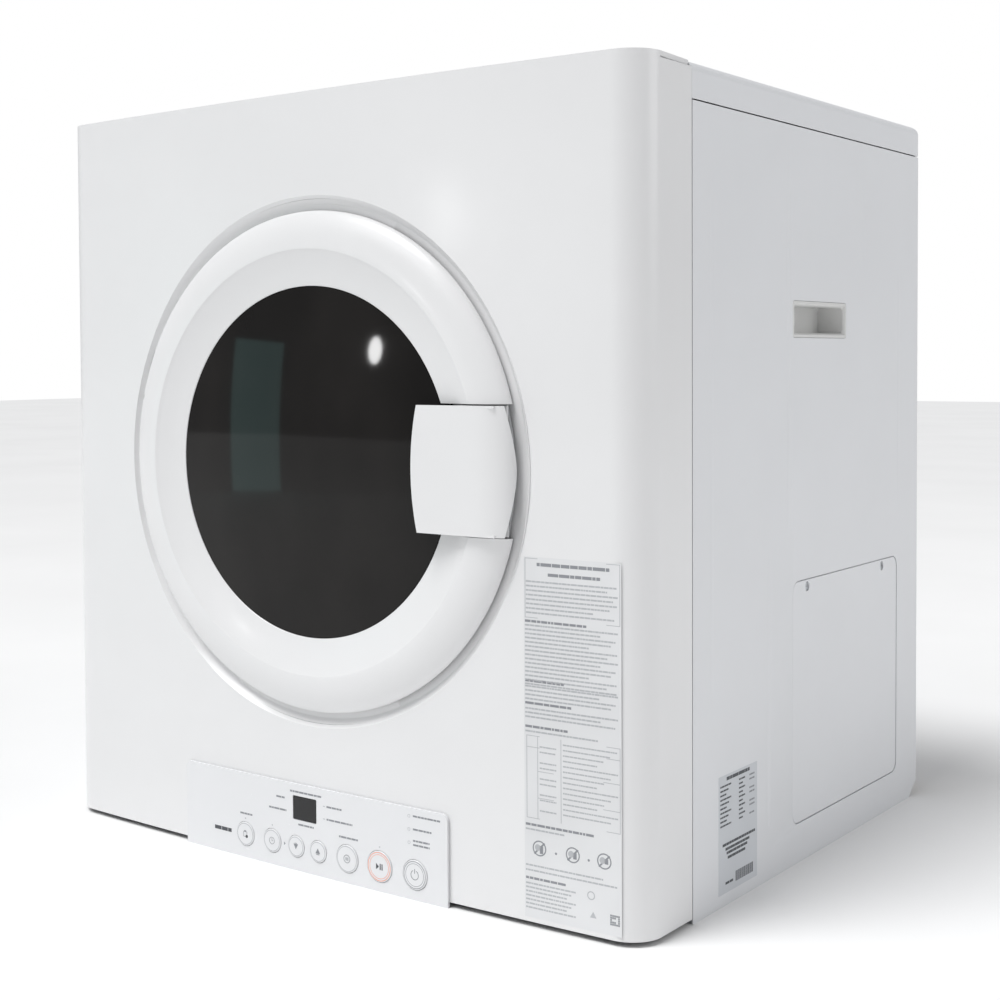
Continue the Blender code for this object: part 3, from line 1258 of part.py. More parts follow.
WHITE = material("white_paint", (0.86, 0.87, 0.87), 0.35)
PANEL_WHITE = material("panel_white", (0.84, 0.85, 0.85), 0.4)
GREY = material("grey_plastic", (0.62, 0.63, 0.64), 0.5)
DARK = material("dark_plastic", (0.06, 0.06, 0.07), 0.5)
BLACK = material("black_window", (0.01, 0.01, 0.01), 0.1)
SMOKED = material("smoked_window", (0.02, 0.02, 0.025), 0.06)
RUBBER = material("rubber", (0.03, 0.03, 0.03), 0.8)
FELT = material("felt", (0.75, 0.73, 0.68), 0.95)
STEEL = material("galvanised_steel", (0.62, 0.63, 0.64), 0.4, 0.9)
DRUM_STEEL = material("drum_steel", (0.7, 0.7, 0.7), 0.3, 1.0)
BRUSHED = material("aluminised_steel", (0.6, 0.6, 0.58), 0.45, 0.9)
BRASS = material("brass", (0.7, 0.55, 0.28), 0.35, 1.0)
CAST = material("cast_iron", (0.12, 0.12, 0.12), 0.7, 0.6)
BLUE = material("filter_plastic", (0.32, 0.48, 0.66), 0.5)
BOARD = material("circuit_board", (0.05, 0.22, 0.10), 0.5)

make_front_panel()
make_side_panel("side_panel_left", -1)
make_side_panel("side_panel_right", 1)
make_service_cover()
make_hand_grip("hand_grip_left", -1)
make_hand_grip("hand_grip_right", 1)
make_top_cover()
BASE_PAN = make_base_pan()
make_feet()
make_rear_panel()
make_cord_gland()
make_bulkheads()
make_control_panel()
make_display()
make_buttons()
make_control_board()
make_door_ring()
make_door_liner()
make_door_window()
make_door_gasket()
make_door_handle()
make_door_hinge()
make_door_catch()
make_drum()
make_lifters()
make_drum_shaft()
make_lint_filter()
make_fan()
make_exhaust()
make_motor()
make_belts()
make_idler(BASE_PAN)
make_burner()
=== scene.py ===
"""Compact front-loading tumble dryer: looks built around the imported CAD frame.

Metres throughout. Pieces that need a finer shape are drawn again from the sizes in the
part's source. All other CAD nodes are carried over, welded and with softened edges.
"""
import json
import math

import bmesh
import bpy
from mathutils import Matrix, Vector

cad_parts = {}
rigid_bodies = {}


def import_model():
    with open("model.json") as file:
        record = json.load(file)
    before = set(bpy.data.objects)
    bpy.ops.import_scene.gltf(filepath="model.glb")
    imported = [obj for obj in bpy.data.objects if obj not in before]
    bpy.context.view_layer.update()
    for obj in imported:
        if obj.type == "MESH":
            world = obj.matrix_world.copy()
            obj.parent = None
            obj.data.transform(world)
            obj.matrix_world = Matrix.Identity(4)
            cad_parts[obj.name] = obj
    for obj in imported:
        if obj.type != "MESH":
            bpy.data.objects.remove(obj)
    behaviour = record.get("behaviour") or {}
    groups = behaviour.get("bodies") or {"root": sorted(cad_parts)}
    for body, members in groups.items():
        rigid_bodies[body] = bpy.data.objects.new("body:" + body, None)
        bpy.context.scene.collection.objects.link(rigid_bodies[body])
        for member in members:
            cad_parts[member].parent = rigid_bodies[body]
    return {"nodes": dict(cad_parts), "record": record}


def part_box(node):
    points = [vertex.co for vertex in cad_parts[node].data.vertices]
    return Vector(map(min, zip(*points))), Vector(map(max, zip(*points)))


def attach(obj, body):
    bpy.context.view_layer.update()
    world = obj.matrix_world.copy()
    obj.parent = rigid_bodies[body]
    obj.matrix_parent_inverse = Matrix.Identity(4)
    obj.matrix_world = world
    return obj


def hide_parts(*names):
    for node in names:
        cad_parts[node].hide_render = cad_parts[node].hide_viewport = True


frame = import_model()
NODES = frame["nodes"]
BODIES = frame["record"]["behaviour"]["bodies"]
BODY_OF = {node: body for body, names in BODIES.items() for node in names}
SLOTS = {part["node"]: part["material_slot"] for part in frame["record"]["subparts"]}
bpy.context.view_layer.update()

# ---------------------------------------------------------------- places read from the frame
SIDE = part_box("side_panel_right")[1].x                 # outer face of the side panels
DOOR_Z = sum(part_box("door_outer_ring")[i].z for i in (0, 1)) / 2
# The floor is drawn at the top of a foot's stud, 17.5 mm above the zero that the feet
# stand on, so it hides the feet. This is a known fault.
FLOOR_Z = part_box("foot_front_left")[1].z
HANDLE_PROUD = 0.0225                                  # handle face, ahead of the front corners
CHORD_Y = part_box("door_handle")[0].y + HANDLE_PROUD    # plane through both front corners
BOW = 0.0089                                           # how far the front stands out at its middle
BOW_R = (SIDE ** 2 + BOW ** 2) / (2 * BOW)
BOW_Y = CHORD_Y + BOW_R - BOW                          # centre of the front's arc


# ================================================================ materials
class Graph:
    """Writes one procedural material, in the object's own coordinates."""

    def __init__(self, name):
        self.material = bpy.data.materials.new(name)
        self.material.use_nodes = True
        self.tree = self.material.node_tree
        self.shader = self.tree.nodes["Principled BSDF"]
        self.place = self.node("ShaderNodeTexCoord").outputs["Object"]

    def node(self, kind, **settings):
        made = self.tree.nodes.new(kind)
        for key, value in settings.items():
            setattr(made, key, value)
        return made

    def link(self, output, socket):
        self.tree.links.new(output, socket)

    def stretched(self, scale):
        mapping = self.node("ShaderNodeMapping")
        mapping.inputs["Scale"].default_value = scale
        self.link(self.place, mapping.inputs["Vector"])
        return mapping.outputs["Vector"]

    def noise(self, size, detail=3.0, stretch=(1, 1, 1), roughness=0.55):
        """Noise whose features are about size metres across."""
        made = self.node("ShaderNodeTexNoise")
        made.inputs["Scale"].default_value = 1 / size
        made.inputs["Detail"].default_value = detail
        made.inputs["Roughness"].default_value = roughness
        self.link(self.stretched(stretch), made.inputs["Vector"])
        return made.outputs["Fac"]

    def voronoi(self, size, stretch=(1, 1, 1), output="Distance", **settings):
        made = self.node("ShaderNodeTexVoronoi", **settings)
        made.inputs["Scale"].default_value = 1 / size
        self.link(self.stretched(stretch), made.inputs["Vector"])
        return made.outputs[output]

    def ramp(self, fac, stops):
        made = self.node("ShaderNodeValToRGB")
        elements = made.color_ramp.elements
        while len(elements) < len(stops):
            elements.new(0.5)
        for element, (at, colour) in zip(elements, stops):
            element.position = at
            element.color = (*colour, 1)
        self.link(fac, made.inputs["Fac"])
        return made.outputs["Color"]

    def spread(self, fac, low, high):
        made = self.node("ShaderNodeMapRange")
        made.inputs["To Min"].default_value = low
        made.inputs["To Max"].default_value = high
        self.link(fac, made.inputs["Value"])
        return made.outputs["Result"]

    def colour(self, output):
        self.link(output, self.shader.inputs["Base Color"])

    def roughness(self, fac, low, high):
        self.link(self.spread(fac, low, high), self.shader.inputs["Roughness"])

    def bump(self, height, strength, depth):
        made = self.node("ShaderNodeBump")
        made.inputs["Strength"].default_value = strength
        made.inputs["Distance"].default_value = depth
        self.link(height, made.inputs["Height"])
        self.link(made.outputs["Normal"], self.shader.inputs["Normal"])

    def set(self, **values):
        for key, value in values.items():
            self.shader.inputs[key.replace("_", " ")].default_value = value
        return self.material


def tint(colour, factor):
    return tuple(min(1.0, c * factor) for c in colour)


def moulded(name, colour, rough, grain=0.0007, depth=0.00002, drift=0.02, coat=0.0):
    """Moulded plastic or paint: slow colour drift, fine grain in the gloss and the surface."""
    g = Graph(name)
    dull, bright = tint(colour, 1 - drift), tint(colour, 1 + drift)
    g.colour(g.ramp(g.noise(0.12), ((0.3, dull), (0.7, bright))))
    g.roughness(g.noise(0.02, 4.0), rough * 0.88, rough * 1.12)
    g.bump(g.noise(grain, 2.0), 0.35, depth)
    return g.set(Coat_Weight=coat, Coat_Roughness=0.12)


def brushed(name, colour, rough, stretch):
    """Bare metal drawn or rolled along one direction."""
    g = Graph(name)
    lines = g.noise(0.0012, 5.0, stretch)
    g.colour(g.ramp(lines, ((0.25, tint(colour, 0.86)), (0.75, tint(colour, 1.06)))))
    g.roughness(lines, rough * 0.8, rough * 1.25)
    g.bump(lines, 0.25, 0.00003)
    return g.set(Metallic=1.0)


def galvanised():
    """Zinc-coated sheet with its spangle."""
    g = Graph("galvanised")
    spangle = g.voronoi(0.009, output="Color")
    grey = g.node("ShaderNodeRGBToBW")
    g.link(spangle, grey.inputs["Color"])
    g.colour(g.ramp(grey.outputs["Val"], ((0.2, (0.44, 0.46, 0.48)), (0.8, (0.60, 0.62, 0.64)))))
    g.roughness(grey.outputs["Val"], 0.34, 0.52)
    g.bump(g.noise(0.0015, 3.0), 0.2, 0.00003)
    return g.set(Metallic=0.9)


def felt():
    g = Graph("felt")
    fibres = g.noise(0.0009, 6.0, (1, 1, 1), 0.75)
    g.colour(g.ramp(fibres, ((0.3, (0.42, 0.39, 0.34)), (0.7, (0.60, 0.57, 0.51)))))
    g.bump(fibres, 0.9, 0.0004)
    return g.set(Roughness=0.95, Sheen_Weight=0.4)


def cast_iron():
    g = Graph("cast_iron")
    skin = g.noise(0.002, 6.0)
    g.colour(g.ramp(skin, ((0.3, (0.045, 0.046, 0.048)), (0.7, (0.085, 0.086, 0.088)))))
    g.bump(skin, 0.7, 0.0002)
    return g.set(Roughness=0.62, Metallic=0.4)


def rubber():
    g = Graph("rubber")
    g.colour(g.ramp(g.noise(0.01), ((0.3, (0.020, 0.020, 0.021)), (0.7, (0.034, 0.034, 0.035)))))
    g.roughness(g.noise(0.004, 4.0), 0.60, 0.78)
    g.bump(g.noise(0.0006, 3.0), 0.4, 0.00004)
    return g.set(Specular_IOR_Level=0.35)


def circuit_board():
    g = Graph("circuit_board")
    cells = g.voronoi(0.004, distance="CHEBYCHEV", output="Distance")
    g.colour(g.ramp(cells, ((0.30, (0.02, 0.13, 0.06)), (0.36, (0.05, 0.24, 0.10)))))
    g.roughness(cells, 0.3, 0.5)
    g.bump(cells, 0.2, 0.00005)
    return g.set(Coat_Weight=0.3, Coat_Roughness=0.2)


def smoked_window():
    """Smoke-tinted dome: almost black and a little warm, with a slight waviness."""
    g = Graph("window_smoke")
    cloud = g.noise(0.10, 2.0, (1, 1, 0.6))
    g.colour(g.ramp(cloud, ((0.30, (0.0085, 0.0078, 0.0075)), (0.70, (0.0165, 0.0150, 0.0142)))))
    g.roughness(g.noise(0.03, 3.0), 0.035, 0.06)
    g.bump(g.noise(0.09, 1.0), 0.15, 0.0004)
    return g.set(Specular_IOR_Level=0.20)


# Arguments of moulded: name, colour, roughness, grain size, grain depth, drift, coat.
MADE = {
    "white_paint": moulded("white_paint", (0.76, 0.77, 0.79), 0.42, 0.0016, 0.00003, 0.012),
    "white_moulding": moulded("white_moulding", (0.80, 0.80, 0.805), 0.30, 0.0010, 0.00002, 0.012, 0.10),
    "panel_white": moulded("panel_white", (0.78, 0.785, 0.80), 0.26, 0.0006, 0.00001, 0.012, 0.25),
    "window_smoke": smoked_window(),
    "display_black": moulded("display_black", (0.006, 0.006, 0.007), 0.20, 0.002, 0.000005, 0.2),
    "grey_plastic": moulded("grey_plastic", (0.42, 0.43, 0.44), 0.45, 0.0008, 0.00003, 0.05),
    "dark_plastic": moulded("dark_plastic", (0.055, 0.056, 0.060), 0.42, 0.0008, 0.00003, 0.10),
    "galvanised": galvanised(),
    "drum_steel": brushed("drum_steel", (0.62, 0.62, 0.61), 0.30, (1, 0.04, 1)),
    "aluminised": brushed("aluminised", (0.56, 0.57, 0.58), 0.42, (1, 1, 0.05)),
    "brass": brushed("brass", (0.66, 0.47, 0.20), 0.30, (1, 0.1, 1)),
    "cast_iron": cast_iron(),
    "rubber": rubber(),
    "felt": felt(),
    "filter_plastic": moulded("filter_plastic", (0.30, 0.33, 0.36), 0.38, 0.0007, 0.00003, 0.06),
    "circuit_board": circuit_board(),
}


# ================================================================ carried-over CAD nodes
def softened(node, edge=0.0004, angle=28):
    """The CAD node as a piece with welded, smooth-shaded faces and small rounded edges."""
    source = NODES[node]
    mesh = source.data.copy()
    mesh.name = node + "_fine"
    bm = bmesh.new()
    bm.from_mesh(mesh)
    bmesh.ops.remove_doubles(bm, verts=bm.verts, dist=2e-6)
    bmesh.ops.dissolve_limit(bm, angle_limit=math.radians(0.6), verts=bm.verts, edges=bm.edges)
    bm.to_mesh(mesh)
    bm.free()
    mesh.polygons.foreach_set("use_smooth", [True] * len(mesh.polygons))
    mesh.set_sharp_from_angle(angle=math.radians(angle))
    return piece(node + "_fine", mesh, BODY_OF[node], SLOTS[node], (node,), edge, LOOKS.get(node))


def piece(name, mesh, body, slot, stands_for=(), edge=0.0, look=None):
    """Puts a mesh in the scene as one piece of the object, riding on a CAD body.

    Clearing the materials of a mesh also clears its faces' indices, so that is only done
    on a copied CAD mesh, which has one material.
    """
    obj = bpy.data.objects.new(name, mesh)
    bpy.context.scene.collection.objects.link(obj)
    if mesh.materials:
        mesh.materials.clear()
    mesh.materials.append(look or MADE[slot])
    if edge:
        bevel = obj.modifiers.new("edges", "BEVEL")
        bevel.width = edge
        bevel.segments = 2
        bevel.limit_method = "ANGLE"
        bevel.angle_limit = math.radians(32)
        bevel.harden_normals = True
    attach(obj, body)
    if stands_for:
        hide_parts(*stands_for)
    return obj


# ================================================================ geometry
# Fine pieces are drawn in the machine's own frame, where y = 0 is the plane through the
# front corners. fine() moves them to the world's frame.
ON_AXIS = 1e-7       # a lathe point nearer to the axis than this is one vertex on it


def on_axes(axis, u, v, w):
    """A point with u and v in an outline's plane and w along the axis."""
    return {"X": Vector((w, u, v)), "Y": Vector((u, w, v)), "Z": Vector((u, v, w))}[axis]


def prism(outline, span, axis, bm=None):
    """An outline drawn out along the axis, alone or added to bm."""
    bm = bm or bmesh.new()
    ends = [[bm.verts.new(on_axes(axis, u, v, w)) for u, v in outline] for w in span]
    bm.faces.new(ends[0])
    bm.faces.new(ends[1][::-1])
    for i in range(len(outline)):
        j = (i + 1) % len(outline)
        bm.faces.new((ends[0][i], ends[1][i], ends[1][j], ends[0][j]))
    return bm


def block(low, high, bm=None):
    (x0, y0, z0), (x1, y1, z1) = low, high
    return prism([(x0, y0), (x1, y0), (x1, y1), (x0, y1)], (z0, z1), "Z", bm)


def lathe(profile, at, sides=160, axis="Y", closed=True):
    """Turns (radius, place along the axis) points round the axis through at."""
    bm = bmesh.new()
    turns = [2 * math.pi * i / sides for i in range(sides)]
    rings = []
    for r, w in profile:
        if r < ON_AXIS:
            spots = [(at[0], at[1])]
        else:
            spots = [(at[0] + r * math.cos(a), at[1] + r * math.sin(a)) for a in turns]
        rings.append([bm.verts.new(on_axes(axis, u, v, w)) for u, v in spots])
    for a, b in list(zip(rings, rings[1:])) + ([(rings[-1], rings[0])] if closed else []):
        for i in range(sides):
            j = (i + 1) % sides
            around = (a[i % len(a)], a[j % len(a)], b[j % len(b)], b[i % len(b)])
            corners = list(dict.fromkeys(around))
            if len(corners) > 2:
                bm.faces.new(corners)
    return bm


def as_mesh(name, bm):
    bmesh.ops.recalc_face_normals(bm, faces=bm.faces)
    mesh = bpy.data.meshes.new(name)
    bm.to_mesh(mesh)
    bm.free()
    return mesh


def smooth(mesh, angle=30):
    mesh.polygons.foreach_set("use_smooth", [True] * len(mesh.polygons))
    mesh.set_sharp_from_angle(angle=math.radians(angle))


def carve(mesh, *cutters, operation="DIFFERENCE"):
    """The mesh after exact Booleans with each cutter in turn."""
    scene = bpy.context.scene.collection.objects
    target = bpy.data.objects.new("carved", mesh)
    scene.link(target)
    tools = []
    for bm in cutters:
        tool = bpy.data.objects.new("tool", as_mesh("tool", bm))
        scene.link(tool)
        tools.append(tool)
        modifier = target.modifiers.new("carve", "BOOLEAN")
        modifier.operation = operation
        modifier.solver = "EXACT"
        modifier.object = tool
    bpy.context.view_layer.update()
    evaluated = target.evaluated_get(bpy.context.evaluated_depsgraph_get())
    made = bpy.data.meshes.new_from_object(evaluated)
    for obj in (target, *tools):
        bpy.data.objects.remove(obj)
    return made


def fine(node, mesh, edge=0.0, angle=30):
    """A finer piece that stands for the CAD node of this name."""
    mesh.name = node + "_fine"
    mesh.transform(Matrix.Translation((0, CHORD_Y, 0)))
    smooth(mesh, angle)
    return piece(node + "_fine", mesh, BODY_OF[node], SLOTS[node], (node,), edge)


def arc(centre, radius, start, end, steps):
    turns = [math.radians(start + (end - start) * i / steps) for i in range(steps + 1)]
    return [(centre[0] + radius * math.cos(a), centre[1] + radius * math.sin(a)) for a in turns]


def rounded(centre, width, height, radius, steps=8):
    u, v = width / 2 - radius, height / 2 - radius
    loop = []
    for su, sv, start in ((1, 1, 0), (-1, 1, 90), (-1, -1, 180), (1, -1, 270)):
        loop += arc((centre[0] + su * u, centre[1] + sv * v), radius, start, start + 90, steps)
    return loop


def offset_line(points, distance):
    """The same open line, moved sideways to its left."""
    spots = [Vector(point) for point in points]
    steps = [(b - a).normalized() for a, b in zip(spots, spots[1:])]
    moved = []
    for i, here in enumerate(spots):
        normals = [Vector((-s.y, s.x)) for s in steps[max(i - 1, 0):i + 1]]
        across = sum(normals, Vector((0, 0))).normalized()
        moved.append(tuple(here + across * distance / max(across.dot(normals[0]), 0.5)))
    return moved


def strip(points, thickness):
    """A closed outline: the line, and the same line moved sideways, back to its start."""
    return list(points) + offset_line(points, thickness)[::-1]


# ================================================================ cabinet front
CENTRE_Y = BOW_Y - CHORD_Y                 # bow's centre in the machine's frame
CORNER_R = 0.028
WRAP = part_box("front_panel")[1].y - CHORD_Y
LOW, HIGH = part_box("front_panel")[0].z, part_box("front_panel")[1].z
DOOR = (0.0, DOOR_Z)
SHELL = 0.003                              # moulding's wall
TOP_EDGE_R, BOTTOM_EDGE_R = 0.005, 0.010
RECESS_Y, RECESS_R = -0.002, 0.2235        # floor and edge of the recess for the door
RECESS_FLARE = 0.94                        # widening of the recess wall per unit of its depth
RECESS_LIP = 0.0012                        # rounded foot of that wall
OPENING_R = 0.176                          # way through to the drum
POCKET_X, POCKET_Y, POCKET_HALF = -0.1875, 0.0145, 0.098   # hinge pocket
CATCH_X, CATCH_HALF = (0.1885, 0.2085), 0.0156
SLACK = 0.0006                             # round the catch and the recess seat
BOARD_WINDOW = (-0.140, 0.133, 0.010, 0.0764)   # hole behind the control panel


def front_y(x, proud=0.0):
    return CENTRE_Y - math.sqrt((BOW_R + proud) ** 2 - x * x)


def front_outline(inset, bow_steps=72, corner_steps=20):
    """The front in plan, from the left side round the bow to the right side."""
    corner_x = SIDE - CORNER_R
    corner_y = CENTRE_Y - math.sqrt((BOW_R - CORNER_R) ** 2 - corner_x ** 2)
    lean = math.degrees(math.atan2(corner_x, CENTRE_Y - corner_y))
    radius = CORNER_R - inset
    left = arc((-corner_x, corner_y), radius, 180, 270 - lean, corner_steps)
    bow = arc((0, CENTRE_Y), BOW_R - inset, 270 - lean, 270 + lean, bow_steps)
    right = arc((corner_x, corner_y), radius, 270 + lean, 360, corner_steps)
    return left + bow[1:-1] + right


def front_block(inset, low, high, back):
    outline = front_outline(inset)
    return prism([(outline[0][0], back)] + outline + [(outline[-1][0], back)], (low, high), "Z")


def round_rims(bm, back):
    """Rounds the top and bottom rims of the front block, leaving its back edges."""
    for radius, at in ((TOP_EDGE_R, HIGH), (BOTTOM_EDGE_R, LOW)):
        rim = [e for e in bm.edges if all(abs(v.co.z - at) < 1e-6 for v in e.verts)
               and not all(abs(v.co.y - back) < 1e-6 for v in e.verts)]
        bmesh.ops.bevel(bm, geom=rim, offset=radius, segments=8, affect="EDGES",
                        clamp_overlap=True)


def pocket_outline(wall):
    """The hinge pocket from the front: the recess wall on its left, straight on its right."""
    radius = RECESS_R - 0.0008 + wall
    top = POCKET_HALF + wall
    lean = math.degrees(math.asin(top / radius))
    right = POCKET_X + wall
    side = arc(DOOR, radius, 180 - lean, 180 + lean, 30)
    return [(right, DOOR_Z + top)] + side + [(right, DOOR_Z - top)]


def make_front_panel():
    """The moulding, drawn deeper than it is and cut to length, so that its rims end cleanly."""
    beyond = WRAP + 0.03
    body = front_block(0.0, LOW, HIGH, beyond)
    round_rims(body, beyond)
    behind = block((-1, WRAP, -1), (1, 1, 1))
    hollow = front_block(SHELL, LOW + SHELL, HIGH - SHELL, WRAP + 0.02)
    left, right, foot, head = BOARD_WINDOW
    window = block((left, -0.03, LOW + foot), (right, 0.0, LOW + head))
    mesh = carve(as_mesh("front", body), hollow, window, behind)
    seat_r = RECESS_R + SHELL + SLACK
    seat = lathe([(OPENING_R - 0.01, -0.0055), (seat_r, -0.0055), (seat_r, RECESS_Y + SHELL),
                  (OPENING_R - 0.01, RECESS_Y + SHELL)], DOOR)
    mesh = carve(mesh, seat, operation="UNION")
    far, lip = 0.02, RECESS_LIP
    recess = lathe([(0, RECESS_Y), (RECESS_R - lip, RECESS_Y),
                    (RECESS_R - lip * 0.3, RECESS_Y - lip * 0.3),
                    (RECESS_R + RECESS_FLARE * 0.002, RECESS_Y - 0.002),
                    (RECESS_R + RECESS_FLARE * (far + RECESS_Y), -far), (0, -far)],
                   DOOR, closed=False)
    opening = lathe([(0, -0.03), (OPENING_R, -0.03), (OPENING_R, 0.03), (0, 0.03)],
                    DOOR, sides=144, closed=False)
    mesh = carve(mesh, recess, opening)
    cup = prism(pocket_outline(SHELL), (RECESS_Y + 0.0004, POCKET_Y + SHELL), "Y")
    mesh = carve(mesh, cup, operation="UNION")
    pocket = prism(pocket_outline(0.0), (-0.02, POCKET_Y), "Y")
    magnet = block((CATCH_X[0] - SLACK, -0.01, DOOR_Z - CATCH_HALF),
                   (CATCH_X[1] + SLACK, 0.01, DOOR_Z + CATCH_HALF))
    made = fine("front_panel", carve(mesh, pocket, magnet), angle=24)
    bow_shading(made.data)


def bow_shading(mesh):
    """Shades the bow flat: its strips turn by under a tenth of a degree each, and smooth
    shading would take in the walls of the holes."""
    limit = SIDE - CORNER_R
    for face in mesh.polygons:
        out = Vector((face.center.x, face.center.y - BOW_Y, 0)).normalized()
        if abs(face.center.x) < limit and abs(face.normal.dot(out)) > 0.9999:
            face.use_smooth = False


# ================================================================ door
RING_R, RIDGE_R, RIDGE_Y, GLASS_R, GLASS_Y = 0.217, 0.1834, -0.018, 0.1524, -0.0094
RING_BACK_Y, RING_T = -0.0045, 0.0024
ROLL_Y = RING_BACK_Y - 0.0012        # where the ring's and the handle's round edges start
GLASS_T, GLASS_DOME = 0.003, 0.009
HANDLE_HALF, SPLIT = 0.1035 / 2, 0.0012
HANDLE_X, HANDLE_T = 0.122, 0.0022
HANDLE_ROLL_X = 0.186                # where the handle starts to roll over
HANDLE_BULGE = 0.006                 # how far its free edge is hollowed
HINGE_X, HINGE_Y, HINGE_SPAN, EAR_HALF = -0.197, -0.0078, 0.055, 0.00185
LINER_T = 0.0021


def ring_line():
    """The ring's front face: edge, bowed band, crisp ridge, inner cone, window seat."""
    rise = RIDGE_Y - RING_BACK_Y
    steps = 18
    line = [(RING_R, RING_BACK_Y)]
    for i in range(steps + 1):
        turn = i / steps * math.pi / 2
        line.append((RING_R - (RING_R - RIDGE_R - 0.003) * (1 - math.cos(turn)) ** 0.9,
                     ROLL_Y + (rise + 0.0012) * math.sin(turn)))
    line += [(RIDGE_R + 0.0017, RIDGE_Y), (RIDGE_R + 0.0005, RIDGE_Y + 0.00015),
             (RIDGE_R - 0.0004, RIDGE_Y + 0.0006)]
    for i in range(1, 9):
        share = i / 8
        sag = 0.0006 * math.sin(math.pi * share)
        line.append((RIDGE_R - 0.0004 + (GLASS_R + 0.0006 - RIDGE_R + 0.0004) * share,
                     RIDGE_Y + 0.0006 + (GLASS_Y - RIDGE_Y - 0.0006) * share + sag))
    return line + [(GLASS_R, GLASS_Y + 0.0005)]


def ear_slots():
    """Cuts in the ring's edge that pass the hinge bracket's two ears."""
    middles = [DOOR_Z + side * HINGE_SPAN for side in (-1, 1)]
    return [block((-RING_R - 0.005, HINGE_Y - 0.0042, z - EAR_HALF),
                  (HINGE_X + 0.0105, 0.005, z + EAR_HALF)) for z in middles]


def make_door_ring():
    """Drawn from one side of the handle bay round to the other, so that its ends are flat."""
    section = strip(ring_line(), -RING_T)
    half = HANDLE_HALF + SPLIT
    steps = 200
    bm = bmesh.new()
    columns = []
    for j in range(steps + 1):
        column = []
        for r, y in section:
            lean = math.asin(half / r)
            angle = lean + (2 * math.pi - 2 * lean) * j / steps
            column.append(bm.verts.new((r * math.cos(angle), y, DOOR_Z + r * math.sin(angle))))
        columns.append(column)
    count = len(section)
    for a, b in zip(columns, columns[1:]):
        for i in range(count):
            k = (i + 1) % count
            bm.faces.new((a[i], a[k], b[k], b[i]))
    bm.faces.new(columns[0])
    bm.faces.new(columns[-1][::-1])
    mesh = carve(as_mesh("ring", bm), *ear_slots())
    fine("door_outer_ring", mesh, angle=13)


def make_door_window():
    edge = GLASS_R + 0.008
    seat = GLASS_Y + RING_T + 0.0004
    rim = GLASS_R - 0.0006

    def dome(r, inward):
        share = min(r / rim, 1.0)
        return GLASS_Y + 0.0003 - GLASS_DOME * (1 - share * share) + inward

    rs = [rim * math.sin(math.pi / 2 * i / 28) for i in range(29)]
    profile = [(r, dome(r, 0)) for r in rs] + [(rim, seat), (edge, seat), (edge, seat + 0.0022)]
    profile += [(GLASS_R - 0.002, seat + 0.0022)] + [(r, dome(r, GLASS_T)) for r in rs[-3::-1]]
    fine("door_window", as_mesh("window", lathe(profile, DOOR, closed=False, sides=192)), angle=40)


def handle_y(x):
    """Depth of the handle's face: flat, then rolling over to the door's edge."""
    if x <= HANDLE_ROLL_X:
        return -HANDLE_PROUD
    share = min((x - HANDLE_ROLL_X) / (RING_R - HANDLE_ROLL_X), 1.0)
    return -HANDLE_PROUD + (ROLL_Y + HANDLE_PROUD) * (1 - math.sqrt(1 - share * share))


def rim_of(grid):
    """The vertices round a grid's edge, in order."""
    return (grid[0] + [row[-1] for row in grid[1:]] + grid[-1][-2::-1]
            + [row[0] for row in grid[-2:0:-1]])


def make_door_handle():
    """A curved plate with its free edge hollowed, a floor behind it and two cheeks."""
    reach = (HANDLE_HALF ** 2 + HANDLE_BULGE ** 2) / (2 * HANDLE_BULGE)
    columns, rows = 40, 24
    bm = bmesh.new()
    grids = []
    for back in (0.0, HANDLE_T):
        grid = []
        for j in range(rows + 1):
            z = -HANDLE_HALF + 2 * HANDLE_HALF * j / rows
            left = HANDLE_X + reach - math.sqrt(reach ** 2 - z * z)
            right = math.sqrt(RING_R ** 2 - z * z) - 0.0003 - back * 0.6
            row = []
            for i in range(columns + 1):
                x = left + (right - left) * math.sin(math.pi / 2 * i / columns)
                row.append(bm.verts.new((x, min(handle_y(x) + back, RING_BACK_Y), DOOR_Z + z)))
            grid.append(row)
        grids.append(grid)
    for grid in grids:
        for j in range(rows):
            for i in range(columns):
                bm.faces.new((grid[j][i], grid[j][i + 1], grid[j + 1][i + 1], grid[j + 1][i]))
    rim, rim_back = (rim_of(grid) for grid in grids)
    for i in range(len(rim)):
        j = (i + 1) % len(rim)
        bm.faces.new((rim[i], rim[j], rim_back[j], rim_back[i]))
    floor_y = RING_BACK_Y - LINER_T - 0.0003
    block((GLASS_R + 0.0102, floor_y - 0.0018, DOOR_Z - HANDLE_HALF),
          (RING_R - 0.009, floor_y, DOOR_Z + HANDLE_HALF), bm)
    for side in (-1, 1):
        z0, z1 = sorted((DOOR_Z + side * HANDLE_HALF, DOOR_Z + side * (HANDLE_HALF - 0.002)))
        block((0.166, 0.001 - HANDLE_PROUD, z0), (0.204, floor_y - 0.0005, z1), bm)
    fine("door_handle", as_mesh("handle", bm), edge=0.0006, angle=40)


